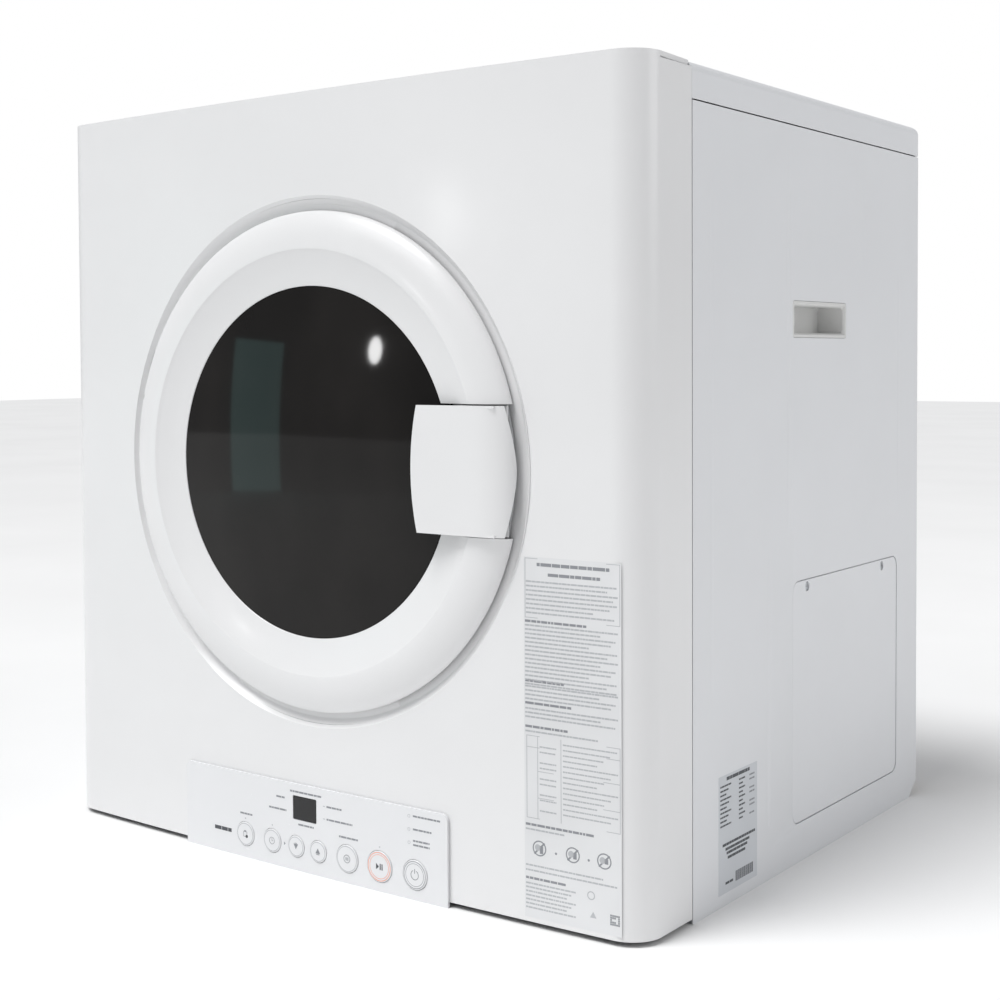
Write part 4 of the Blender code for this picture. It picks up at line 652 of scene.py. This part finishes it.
# ================================================================ printing
class Print:
    """Printed marks as thin raised shapes on a surface: place(u, v, lift) gives each point."""

    def __init__(self, place, thick=0.00006):
        self.place = place
        self.thick = thick
        self.bm = bmesh.new()

    def shape(self, points, ink=0, lift=0.0):
        top = [self.bm.verts.new(self.place(u, v, lift + self.thick)) for u, v in points]
        low = [self.bm.verts.new(self.place(u, v, lift - self.thick)) for u, v in points]
        faces = [self.bm.faces.new(top), self.bm.faces.new(low[::-1])]
        for i in range(len(points)):
            j = (i + 1) % len(points)
            faces.append(self.bm.faces.new((top[i], low[i], low[j], top[j])))
        for face in faces:
            face.material_index = ink

    def bar(self, u0, v0, u1, v1, ink=0, lift=0.0, pieces=1):
        for i in range(pieces):
            a, b = (u0 + (u1 - u0) * (i + step) / pieces for step in (0, 1))
            self.shape([(a, v0), (b, v0), (b, v1), (a, v1)], ink, lift)

    def frame(self, u0, v0, u1, v1, line, ink=0, lift=0.0):
        self.bar(u0, v0, u1, v0 + line, ink, lift)
        self.bar(u0, v1 - line, u1, v1, ink, lift)
        self.bar(u0, v0 + line, u0 + line, v1 - line, ink, lift)
        self.bar(u1 - line, v0 + line, u1, v1 - line, ink, lift)

    def ring(self, u, v, outer, inner, ink=0, lift=0.0, start=0, end=360, steps=48):
        for i in range(steps):
            a, b = (math.radians(start + (end - start) * (i + k) / steps) for k in (0, 1))
            corners = [(outer, a), (outer, b), (inner, b), (inner, a)]
            self.shape([(u + r * math.cos(t), v + r * math.sin(t)) for r, t in corners], ink, lift)

    def disc(self, u, v, r, ink=0, lift=0.0, steps=24):
        turns = [2 * math.pi * i / steps for i in range(steps)]
        self.shape([(u + r * math.cos(t), v + r * math.sin(t)) for t in turns], ink, lift)

    def words(self, u0, v, u1, high, ink=0, lift=0.0, seed=1, gap=0.35):
        """A line of unreadable print: short blocks of mixed length with gaps between them."""
        at, n = u0, seed
        while at < u1 - high * 0.6:
            n = (n * 73 + 41) % 101
            long = min(high * (1.0 + 3.2 * n / 101), u1 - at)
            self.bar(at, v, at + long, v + high, ink, lift)
            at += long + high * gap

    def done(self, name, body, slot, looks):
        """Makes the piece. A shape's ink is the place of its material in looks."""
        mesh = as_mesh(name, self.bm)
        piece(name, mesh, body, slot, look=looks[0])
        for look in looks[1:]:
            mesh.materials.append(look)


def ink(name, colour, rough=0.55):
    return moulded(name, colour, rough, 0.0004, 0.000004, 0.06)


INK = {
    "grey": ink("ink_grey", (0.26, 0.27, 0.29)),
    "pale": ink("ink_pale", (0.46, 0.47, 0.49)),
    "dark": ink("ink_dark", (0.07, 0.075, 0.085)),
    "orange": ink("ink_orange", (0.80, 0.27, 0.16)),
    "label": ink("label_film", (0.735, 0.74, 0.75), 0.40),
    "rating": ink("rating_film", (0.60, 0.62, 0.65), 0.36),
}
GREY_INK, PALE_INK, DARK_INK, ORANGE_INK = range(4)
PANEL_LOOKS = [INK["grey"], INK["pale"], INK["dark"], INK["orange"]]


# ================================================================ control panel
PANEL_LEFT, PANEL_RIGHT, PANEL_PROUD, PANEL_R = -0.155, 0.148, 0.003, 0.006
PANEL_LOW, PANEL_HIGH = LOW - 0.007, LOW + 0.0824
BUTTON_Z = LOW + 0.027
BUTTON_SLIT, BUTTON_PROUD = 0.0004, 0.0008
BUTTONS = (                                # name, centre x, diameter
    ("course", -0.0784, 0.0215),
    ("time", -0.0452, 0.021),
    ("less", -0.0165, 0.019),
    ("more", 0.0092, 0.019),
    ("delay", 0.0422, 0.024),
    ("start", 0.0776, 0.0265),
    ("power", 0.115, 0.025),
)
BUTTON_FLANGE = 0.0009                     # wider than the button, behind the panel
BUTTON_ROUND = 0.0008
BUTTON_DISH = 0.00012                      # depth of the hollow in its face
PRINT_SINK = 0.00002                       # print sits this far into the face
STEM_R = 0.0025
DISPLAY = (-0.0065, LOW + 0.0612, 0.027, 0.0207)   # centre, width, height
DISPLAY_SLIT = 0.0006


def on_panel(u, v, lift):
    return Vector((u, front_y(u, PANEL_PROUD + lift) + CHORD_Y, v))


def make_control_panel():
    steps = 60
    xs = [PANEL_LEFT + (PANEL_RIGHT - PANEL_LEFT) * i / steps for i in range(steps + 1)]
    face = [(x, front_y(x, PANEL_PROUD)) for x in xs]
    rear = [(x, front_y(x, 0.0003)) for x in reversed(xs)]
    body = prism(face + rear, (PANEL_LOW, PANEL_HIGH), "Z")
    lip = [(x, front_y(x, PANEL_PROUD - 0.0005)) for x in xs]
    lip += [(PANEL_RIGHT, 0.018), (PANEL_LEFT, 0.018)]
    tongue = prism(lip, (PANEL_LOW, LOW - 0.0005), "Z")
    mesh = carve(as_mesh("panel", body), tongue, operation="UNION")
    middle = ((PANEL_LEFT + PANEL_RIGHT) / 2, (PANEL_LOW + PANEL_HIGH) / 2)
    outline = rounded(middle, PANEL_RIGHT - PANEL_LEFT, PANEL_HIGH - PANEL_LOW, PANEL_R, 12)
    mesh = carve(mesh, prism(outline, (-0.03, 0.03), "Y"), operation="INTERSECT")
    through = (-0.03, 0.01)
    holes = [prism(arc((x, BUTTON_Z), size / 2 + BUTTON_SLIT, 0, 357.5, 143), through, "Y")
             for _, x, size in BUTTONS]
    x, z, wide, high = DISPLAY
    pane = rounded((x, z), wide + DISPLAY_SLIT, high + DISPLAY_SLIT, 0.0012, 6)
    holes.append(prism(pane, through, "Y"))
    mesh = carve(mesh, *holes)
    made = fine("control_panel", mesh, angle=24)
    bow_shading(made.data)


def icon(marks, name, x):
    """The small picture in the middle of each button: plain shapes, no letters."""
    z = BUTTON_Z
    thin = 0.00035
    if name == "course":
        marks.frame(x - 0.0022, z - 0.0026, x + 0.0022, z + 0.0022, thin, GREY_INK)
        marks.bar(x - 0.0012, z + 0.0022, x + 0.0012, z + 0.0031, GREY_INK)
        marks.disc(x + 0.0019, z - 0.0021, 0.0014, DARK_INK)
    elif name == "time":
        marks.ring(x, z, 0.0032, 0.0028, GREY_INK)
        marks.bar(x - thin / 2, z, x + thin / 2, z + 0.0021, GREY_INK)
        marks.bar(x, z - thin / 2, x + 0.0015, z + thin / 2, GREY_INK)
    elif name == "less":
        marks.shape([(x - 0.0026, z + 0.0022), (x, z - 0.0024), (x + 0.0026, z + 0.0022)], GREY_INK)
        marks.bar(x - 0.0014, z + 0.0026, x + 0.0014, z + 0.0031, GREY_INK)
    elif name == "more":
        marks.shape([(x - 0.0026, z - 0.0016), (x + 0.0026, z - 0.0016), (x, z + 0.0030)], GREY_INK)
        marks.bar(x - 0.0018, z - 0.0027, x + 0.0018, z - 0.0021, GREY_INK)
    elif name == "delay":
        marks.ring(x, z, 0.0036, 0.0031, GREY_INK)
        marks.bar(x - 0.0017, z - 0.0014, x + 0.0017, z + 0.0013, PALE_INK)
    elif name == "start":
        marks.shape([(x - 0.0034, z - 0.0026), (x - 0.0004, z), (x - 0.0034, z + 0.0026)], DARK_INK)
        marks.bar(x + 0.0006, z - 0.0026, x + 0.0016, z + 0.0026, DARK_INK)
        marks.bar(x + 0.0026, z - 0.0026, x + 0.0036, z + 0.0026, DARK_INK)
    else:
        marks.ring(x, z, 0.0042, 0.0036, GREY_INK, start=118, end=422)
        marks.bar(x - 0.0003, z + 0.0012, x + 0.0003, z + 0.0052, GREY_INK)


def make_buttons():
    for name, x, size in BUTTONS:
        node = "button_" + name
        face = front_y(x, PANEL_PROUD) - BUTTON_PROUD
        behind = front_y(x, 0) + 0.0006
        radius = size / 2
        dish = [(radius * 0.55 * i / 5, face + BUTTON_DISH * (1 - (i / 5) ** 2)) for i in range(6)]
        turns = [math.pi / 2 * i / 6 for i in range(7)]
        edge = [(radius - BUTTON_ROUND + BUTTON_ROUND * math.sin(t),
                 face + BUTTON_ROUND * (1 - math.cos(t))) for t in turns]
        flange, floor, end = radius + BUTTON_FLANGE, behind + 0.001, behind + 0.0028
        profile = dish + edge + [(radius, behind), (flange, behind), (flange, floor),
                                 (STEM_R, floor), (STEM_R, end), (0, end)]
        fine(node, as_mesh(node, lathe(profile, (x, BUTTON_Z), 96, closed=False)), angle=40)
        printed = face + PRINT_SINK + CHORD_Y
        marks = Print(lambda u, v, lift, y=printed: Vector((u, y - lift, v)))
        colour = {"start": ORANGE_INK, "power": GREY_INK}.get(name, PALE_INK)
        marks.ring(x, BUTTON_Z, radius - 0.0010, radius - 0.0016, colour, steps=72)
        if name in ("start", "power"):
            marks.ring(x, BUTTON_Z, radius - 0.0029, radius - 0.0033, colour, steps=72)
        icon(marks, name, x)
        marks.done(node + "_print", BODY_OF[node], "panel_white", PANEL_LOOKS)


def make_display():
    x, z, wide, high = DISPLAY
    y = front_y(x, PANEL_PROUD)
    bm = prism(rounded((x, z), wide, high, 0.0010, 6), (y + 0.0004, y + 0.0026), "Y")
    fine("display_window", as_mesh("display", bm), edge=0.0003)


def make_panel_print():
    """Generic bars where the panel carries its captions and its lamps."""
    p = Print(on_panel)
    z = BUTTON_Z
    tall = 0.0016
    p.words(-0.1180, z - 0.0020, -0.0965, 0.0034, DARK_INK, seed=7, gap=0.16)
    p.words(-0.0850, z + 0.0175, -0.0690, tall, GREY_INK, seed=3)
    p.words(0.0330, z + 0.0170, 0.0540, tall, GREY_INK, seed=5)
    p.words(-0.0235, z + 0.0475, 0.0130, tall, GREY_INK, seed=8)
    p.words(-0.0140, z + 0.0190, 0.0040, tall, GREY_INK, seed=9)
    for at, u0, u1, seed in ((0.0400, -0.0400, -0.0300, 2), (0.0290, -0.0490, -0.0280, 4)):
        p.words(u0, z + at, u1, tall, GREY_INK, seed=seed)
    for at, u0, u1, seed in ((0.0400, 0.0190, 0.0360, 6), (0.0290, 0.0190, 0.0480, 1)):
        p.words(u0, z + at, u1, tall, GREY_INK, seed=seed)
        p.bar(0.0150, z + at + 0.0004, 0.0172, z + at + 0.0012, PALE_INK)
    lines = ((0.0480, 0.1420, 3), (0.0370, 0.1320, 6), (0.0275, 0.1300, 8), (0.0240, 0.1300, 2))
    for at, u1, seed in lines:
        p.words(0.1130, z + at, u1, tall * 0.95, GREY_INK, seed=seed)
    for at in (0.0483, 0.0373, 0.0262):
        p.ring(0.1088, z + at, 0.0014, 0.0010, PALE_INK, steps=20)
    for x, lift in ((-0.0784, 0.0140), (-0.0452, 0.0138), (0.0776, 0.0165)):
        p.disc(x, z + lift, 0.0007, PALE_INK, steps=12)
    p.shape([(-0.0312, z - 0.0015), (-0.0294, z), (-0.0312, z + 0.0015)], GREY_INK)
    p.done("panel_print", "cabinet", "panel_white", PANEL_LOOKS)


# ================================================================ labels
def on_front(u, v, lift):
    return Vector((u, front_y(u, lift) + CHORD_Y, v))


def on_side(u, v, lift):
    return Vector((SIDE + lift, u, v))


FILM_TOP = 0.00009           # how far the print on a label stands off the sheet
INK_ON, FILM_ON, FAINT_ON = range(3)   # places in the looks of both labels


def make_caution_label():
    """A film with two frames, blocks of unreadable lines, a table and three pictures."""
    left, right, low, high = 0.2205, 0.3065, 0.0255, 0.3105
    table_low, table_high = 0.1045, 0.1700
    p = Print(on_front)
    p.bar(left, low, right, high, FILM_ON, 0.00002, pieces=8)
    top = FILM_TOP
    line = 0.0005
    for u0, v0, v1 in ((left + 0.001, 0.2625, high - 0.001), (left + 0.002, table_low, table_high)):
        p.frame(u0, v0, right - 0.001, v1, line, FAINT_ON, top)
    for u in (left + 0.0120, left + 0.0330):
        p.bar(u, table_low, u + line, table_high, FAINT_ON, top)
    for v, u0 in ((0.1605, left + 0.002), (0.1420, left + 0.012), (0.1210, left + 0.012)):
        p.bar(u0, v, right - 0.001, v + line, FAINT_ON, top)
    p.words(left + 0.012, 0.3035, right - 0.010, 0.0026, 0, top, seed=5, gap=0.25)
    p.words(left + 0.022, 0.2960, right - 0.018, 0.0024, 0, top, seed=9, gap=0.25)
    # Each row: height, indent at its left, what it stops short at its right, ink.
    intro = (0.004, 0.012, 0.003, 0.007, 0.003, 0.010, 0.024, 0.006)
    rows = [(0.2905 - 0.0035 * i, 0.002, cut, FAINT_ON) for i, cut in enumerate(intro)]
    ragged = (0.003, 0.018, 0.005, 0.009, 0.028, 0.003, 0.012)
    for start, count in ((0.2560, 15), (0.2080, 4), (0.1905, 3)):
        rows += [(start - 0.0033 * i, 0.001, ragged[i % 7], FAINT_ON) for i in range(count)]
    headings = ((0.2590, 0.030), (0.2120, 0.050), (0.1945, 0.042), (0.1760, 0.045),
                (0.0985, 0.024), (0.0560, 0.048))
    rows += [(v, 0.001, cut, INK_ON) for v, cut in headings]
    loose = ((0.1725, 0.020), (0.0950, 0.050), (0.0665, 0.016), (0.0625, 0.004))
    rows += [(v, 0.001, cut, FAINT_ON) for v, cut in loose]
    rows += [(0.0520 - 0.0032 * i, 0.001, 0.040 + (i % 3) * 0.004, FAINT_ON) for i in range(7)]
    for n, (v, inset, cut, tone) in enumerate(rows):
        p.words(left + inset, v, right - cut, 0.0013 if tone else 0.0019, tone, top, seed=n + 2)
    for i in range(14):
        v = 0.1655 - 0.0042 * i
        p.words(left + 0.0350, v, right - 0.003 - (i % 4) * 0.006, 0.0011, 2, top, seed=i + 3)
        if i % 3:
            p.words(left + 0.0140, v, left + 0.0290, 0.0011, 2, top, seed=i + 6)
    for n, u in enumerate((0.2340, 0.2640, 0.2915)):
        p.ring(u, 0.0815, 0.0062, 0.0052, 0, top, steps=28)
        p.disc(u - 0.0015, 0.0820, 0.0026, 2, top)
        p.bar(u + 0.0004, 0.0775 + 0.001 * n, u + 0.0034, 0.0835, 0, top)
        p.shape([(u - 0.0052, 0.0772), (u - 0.0041, 0.0764),
                 (u + 0.0052, 0.0858), (u + 0.0041, 0.0866)], INK_ON, top)
    for u in (0.2490, 0.2780):
        p.disc(u, 0.0800, 0.0010, 0, top, 12)
    p.ring(0.2800, 0.0530, 0.0034, 0.0026, 2, top, steps=20)
    p.shape([(0.2790, 0.0360), (0.2845, 0.0360), (0.2818, 0.0408)], 2, top)
    for i in range(5):
        for j in range(5):
            if i in (0, 4) or j in (0, 4) or (i * j + i) % 3:
                u, v = 0.2965 + 0.0017 * i, 0.0335 + 0.0017 * j
                p.bar(u, v, u + 0.0014, v + 0.0014, INK_ON, top)
    p.done("caution_label", "cabinet", "white_moulding", [INK["grey"], INK["label"], INK["pale"]])


def make_rating_label():
    """A grey film with three columns of unreadable print and a row of plain stripes."""
    left, right, bottom, top_edge = -0.1599, -0.0905, 0.0276, 0.1250
    p = Print(on_side)
    p.bar(left, bottom, right, top_edge, FILM_ON, 0.00002)
    top = FILM_TOP
    p.words(left + 0.014, top_edge - 0.0050, right - 0.014, 0.0028, 0, top, seed=4, gap=0.2)
    for i in range(10):
        v = top_edge - 0.0095 - 0.0036 * i
        p.words(left + 0.003, v, left + 0.022 - (i % 3) * 0.004, 0.0014, 0, top, seed=i + 1)
        p.words(left + 0.036, v, left + 0.047 - (i % 2) * 0.004, 0.0014, 0, top, seed=i + 4)
        if i % 3 != 2:
            p.words(left + 0.055, v, right - 0.005, 0.0014, 2, top, seed=i + 5)
    narrowing = ((0.0665, 0.004), (0.0625, 0.014), (0.0590, 0.018), (0.0550, 0.022))
    for n, (v, cut) in enumerate(narrowing):
        p.words(left + 0.005 + cut / 2, v, right - cut, 0.0022, 0, top, seed=n + 3, gap=0.2)
    at = left + 0.030
    for i in range(18):
        wide = (0.0008, 0.0014, 0.0006, 0.0011)[i % 4]
        p.bar(at, 0.0330, at + wide, 0.0415, 0, top)
        at += wide + 0.0008
    p.words(left + 0.012, 0.0345, left + 0.027, 0.0020, 0, top, seed=6)
    p.done("rating_label", "cabinet", "white_paint", [INK["dark"], INK["rating"], INK["grey"]])


# ================================================================ sides, grips, screws
def bead(bm, y, low, high, wide=0.0085, proud=0.00035):
    """A shallow pressed bead running up the side sheet, fading out at both ends."""
    across, along = 12, 24
    foot = SIDE - 0.00004
    rows = []
    for j in range(along + 1):
        z = low + (high - low) * j / along
        fade = min(1.0, min(j, along - j) / 3)
        shares = [i / across - 0.5 for i in range(across + 1)]
        rows.append([bm.verts.new((foot + proud * fade * math.cos(math.pi * share) ** 2,
                                   y + wide * share, z)) for share in shares])
    for a, b in zip(rows, rows[1:]):
        for i in range(across):
            bm.faces.new((a[i], a[i + 1], b[i + 1], b[i]))


BEADS = (                                  # y of the middle, lower and upper end
    (-0.171, 0.150, 0.640),
    (-0.029, 0.300, 0.655),
    (0.135, 0.545, 0.645),
    (-0.067, 0.060, 0.310),
    (0.2215, 0.300, 0.560),
)


def make_beads():
    bm = bmesh.new()
    for y, low, high in BEADS:
        bead(bm, y, low, high)
    mesh = as_mesh("side_beads", bm)
    smooth(mesh, 60)
    piece("side_beads", mesh, "cabinet", "white_paint")


HEAD_R, HEAD_ROUND, SHANK_R = 0.0039, 0.0011, 0.0018
CROSS_LONG, CROSS_THIN = 0.0021, 0.0004    # half sizes of the cross recess


def make_screws():
    """Pan-head cross-recess screws, drawn at their CAD nodes' places in the world's frame."""
    for name in ("service_screw_front", "service_screw_rear"):
        low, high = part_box(name)
        spot = ((low.y + high.y) / 2, (low.z + high.z) / 2)
        back = low.x
        head = high.x
        under = head - 0.0016
        profile = [(0, back), (0.0012, back), (SHANK_R, back + 0.001), (SHANK_R, under),
                   (HEAD_R, under)]
        turns = [math.pi / 2 * i / 8 for i in range(8)]
        profile += [(HEAD_R * math.cos(t), head - HEAD_ROUND + HEAD_ROUND * math.sin(t))
                    for t in turns] + [(0, head)]
        mesh = as_mesh(name, lathe(profile, spot, 48, "X", closed=False))
        arms = ((CROSS_LONG, CROSS_THIN), (CROSS_THIN, CROSS_LONG))
        cross = [block((head - 0.0009, spot[0] - u, spot[1] - v),
                       (head + 0.001, spot[0] + u, spot[1] + v)) for u, v in arms]
        mesh = carve(mesh, *cross)
        mesh.transform(Matrix.Translation((0, -CHORD_Y, 0)))
        fine(name, mesh, angle=35)


DRUM_PATTERN_R = 0.275                     # radius at which the rows' spacing is true
HOLE_PITCH = 0.0235
HOLE_INNER, HOLE_OUTER = 0.075, 0.105      # soft edge of a hole, in pitches


def make_drum_look():
    """Bright steel with its rows of punched holes; the pattern turns with the drum."""
    g = Graph("drum_punched")
    split = g.node("ShaderNodeSeparateXYZ")
    g.link(g.place, split.inputs["Vector"])

    def maths(operation, a, b=None):
        made = g.node("ShaderNodeMath", operation=operation)
        for socket, value in zip(made.inputs, (a, b)):
            if value is None:
                continue
            if isinstance(value, (int, float)):
                socket.default_value = value
            else:
                g.link(value, socket)
        return made.outputs["Value"]

    up = maths("SUBTRACT", split.outputs["Z"], DOOR_Z)
    turn = maths("ARCTAN2", split.outputs["X"], up)
    round_way = maths("MULTIPLY", turn, DRUM_PATTERN_R / HOLE_PITCH)
    along = maths("MULTIPLY", split.outputs["Y"], 1 / HOLE_PITCH)
    parity = maths("MULTIPLY", maths("FLOOR", along), 0.5)
    u = maths("SUBTRACT", maths("FRACT", maths("ADD", round_way, parity)), 0.5)
    v = maths("SUBTRACT", maths("FRACT", along), 0.5)
    away = maths("SQRT", maths("ADD", maths("MULTIPLY", u, u), maths("MULTIPLY", v, v)))
    lines = g.noise(0.0012, 5.0, (1, 0.04, 1))
    steel = g.ramp(lines, ((0.25, (0.52, 0.52, 0.51)), (0.75, (0.66, 0.66, 0.65))))
    hole = g.node("ShaderNodeMapRange", interpolation_type="SMOOTHSTEP")
    hole.inputs["From Min"].default_value = HOLE_INNER
    hole.inputs["From Max"].default_value = HOLE_OUTER
    g.link(away, hole.inputs["Value"])
    mix = g.node("ShaderNodeMix", data_type="RGBA")
    g.link(hole.outputs["Result"], mix.inputs["Factor"])
    mix.inputs["A"].default_value = (0.012, 0.012, 0.012, 1)
    g.link(steel, mix.inputs["B"])
    g.colour(mix.outputs["Result"])
    g.roughness(lines, 0.24, 0.38)
    g.bump(hole.outputs["Result"], 0.5, 0.0006)
    return g.set(Metallic=1.0)


LOOKS = {
    "drum": make_drum_look(),
    "hand_grip_right": moulded("grip_white", (0.70, 0.70, 0.69), 0.40, 0.0008, 0.00003, 0.02),
}
LOOKS["hand_grip_left"] = LOOKS["hand_grip_right"]


# ================================================================ the object
make_front_panel()
make_door_ring()
make_door_window()
make_door_handle()
make_control_panel()
make_buttons()
make_display()
make_panel_print()
make_caution_label()
make_rating_label()
make_beads()
make_screws()
FINE = {"front_panel", "door_outer_ring", "door_window", "door_handle", "control_panel",
        "display_window", "service_screw_front", "service_screw_rear"}
FINE |= {"button_" + name for name, _, _ in BUTTONS}
for every in sorted(set(NODES) - FINE):
    softened(every)


# ================================================================ scene
def area_light(name, spot, target, size, power, colour=(1, 1, 1), shape="RECTANGLE"):
    data = bpy.data.lights.new(name, "AREA")
    data.shape = shape
    data.size, data.size_y = size
    data.energy = power
    data.color = colour
    obj = bpy.data.objects.new(name, data)
    bpy.context.scene.collection.objects.link(obj)
    obj.location = spot
    obj.rotation_mode = "QUATERNION"
    obj.rotation_quaternion = (Vector(target) - Vector(spot)).to_track_quat("-Z", "Y")
    return obj


def sky_light(toward, strength, spread):
    """A very soft light from above and a little in front."""
    data = bpy.data.lights.new("sky", "SUN")
    data.energy = strength
    data.angle = math.radians(spread)
    obj = bpy.data.objects.new("sky", data)
    bpy.context.scene.collection.objects.link(obj)
    obj.rotation_mode = "QUATERNION"
    obj.rotation_quaternion = Vector(toward).to_track_quat("Z", "Y")


# The photograph's camera, worked out from the cabinet's corners.
CAMERA_AT = (0.92361, -1.31806, 0.46579)
CAMERA_YAW, CAMERA_PITCH, CAMERA_ROLL = 0.661828, 0.0337, -0.006476   # radians
CAMERA_LENS, CAMERA_SHIFT = 57.52, (0.080, -0.0877)
WORLD_LIGHT = 0.32


def make_camera():
    yaw, pitch, roll = CAMERA_YAW, CAMERA_PITCH, CAMERA_ROLL
    ahead = Vector((-math.sin(yaw) * math.cos(pitch), math.cos(yaw) * math.cos(pitch),
                    -math.sin(pitch)))
    right = Vector((math.cos(yaw), math.sin(yaw), 0))
    up = right.cross(ahead)
    level = right * math.cos(roll) + up * math.sin(roll)
    upright = up * math.cos(roll) - right * math.sin(roll)
    data = bpy.data.cameras.new("photo_camera")
    data.sensor_width = 36
    data.lens = CAMERA_LENS
    data.shift_x, data.shift_y = CAMERA_SHIFT
    data.clip_end = 60
    obj = bpy.data.objects.new("photo_camera", data)
    bpy.context.scene.collection.objects.link(obj)
    place = Matrix((level, upright, -ahead)).transposed().to_4x4()
    place.translation = CAMERA_AT
    obj.matrix_world = place
    bpy.context.scene.camera = obj


def make_floor():
    bm = bmesh.new()
    bmesh.ops.create_grid(bm, x_segments=8, y_segments=8, size=14)
    mesh = bpy.data.meshes.new("floor")
    bm.to_mesh(mesh)
    bm.free()
    floor = bpy.data.objects.new("floor", mesh)
    floor.location.z = FLOOR_Z
    bpy.context.scene.collection.objects.link(floor)
    g = Graph("floor_white")
    g.colour(g.ramp(g.noise(0.6), ((0.3, (0.90, 0.90, 0.90)), (0.7, (0.93, 0.93, 0.93)))))
    mesh.materials.append(g.set(Roughness=0.85, Specular_IOR_Level=0.1))


def make_world():
    """White behind the object, and a softer grey-white for what lights it."""
    world = bpy.data.worlds.new("studio")
    world.use_nodes = True
    tree = world.node_tree
    soft = tree.nodes["Background"]
    soft.inputs["Color"].default_value = (0.97, 0.98, 1.0, 1)
    soft.inputs["Strength"].default_value = WORLD_LIGHT
    white = tree.nodes.new("ShaderNodeBackground")
    white.inputs["Color"].default_value = (1, 1, 1, 1)
    mix = tree.nodes.new("ShaderNodeMixShader")
    path = tree.nodes.new("ShaderNodeLightPath")
    tree.links.new(path.outputs["Is Camera Ray"], mix.inputs["Fac"])
    tree.links.new(soft.outputs["Background"], mix.inputs[1])
    tree.links.new(white.outputs["Background"], mix.inputs[2])
    tree.links.new(mix.outputs["Shader"], tree.nodes["World Output"].inputs["Surface"])
    bpy.context.scene.world = world
    bpy.context.scene.view_settings.view_transform = "Standard"


make_camera()
make_floor()
make_world()
sky_light((-0.20, -0.40, 1.0), 2.05, 26)
area_light("key_front", (-1.0, -2.9, 3.3), (0, 0, 0.35), (2.2, 1.6), 26)
area_light("side_right", (3.4, 1.3, 1.9), (0.3, 0, 0.35), (2.2, 2.2), 29)
# These two are only there to be mirrored in the door's window.
area_light("dome_spark", (-1.54, -2.79, 0.85), (0.08, -0.29, 0.47), (0.10, 0.16), 1.8,
           shape="ELLIPSE")
area_light("window_card", (-2.30, -2.25, 0.44), (-0.05, -0.29, 0.43), (0.42, 0.84), 1.2,
           (0.50, 0.95, 0.92))
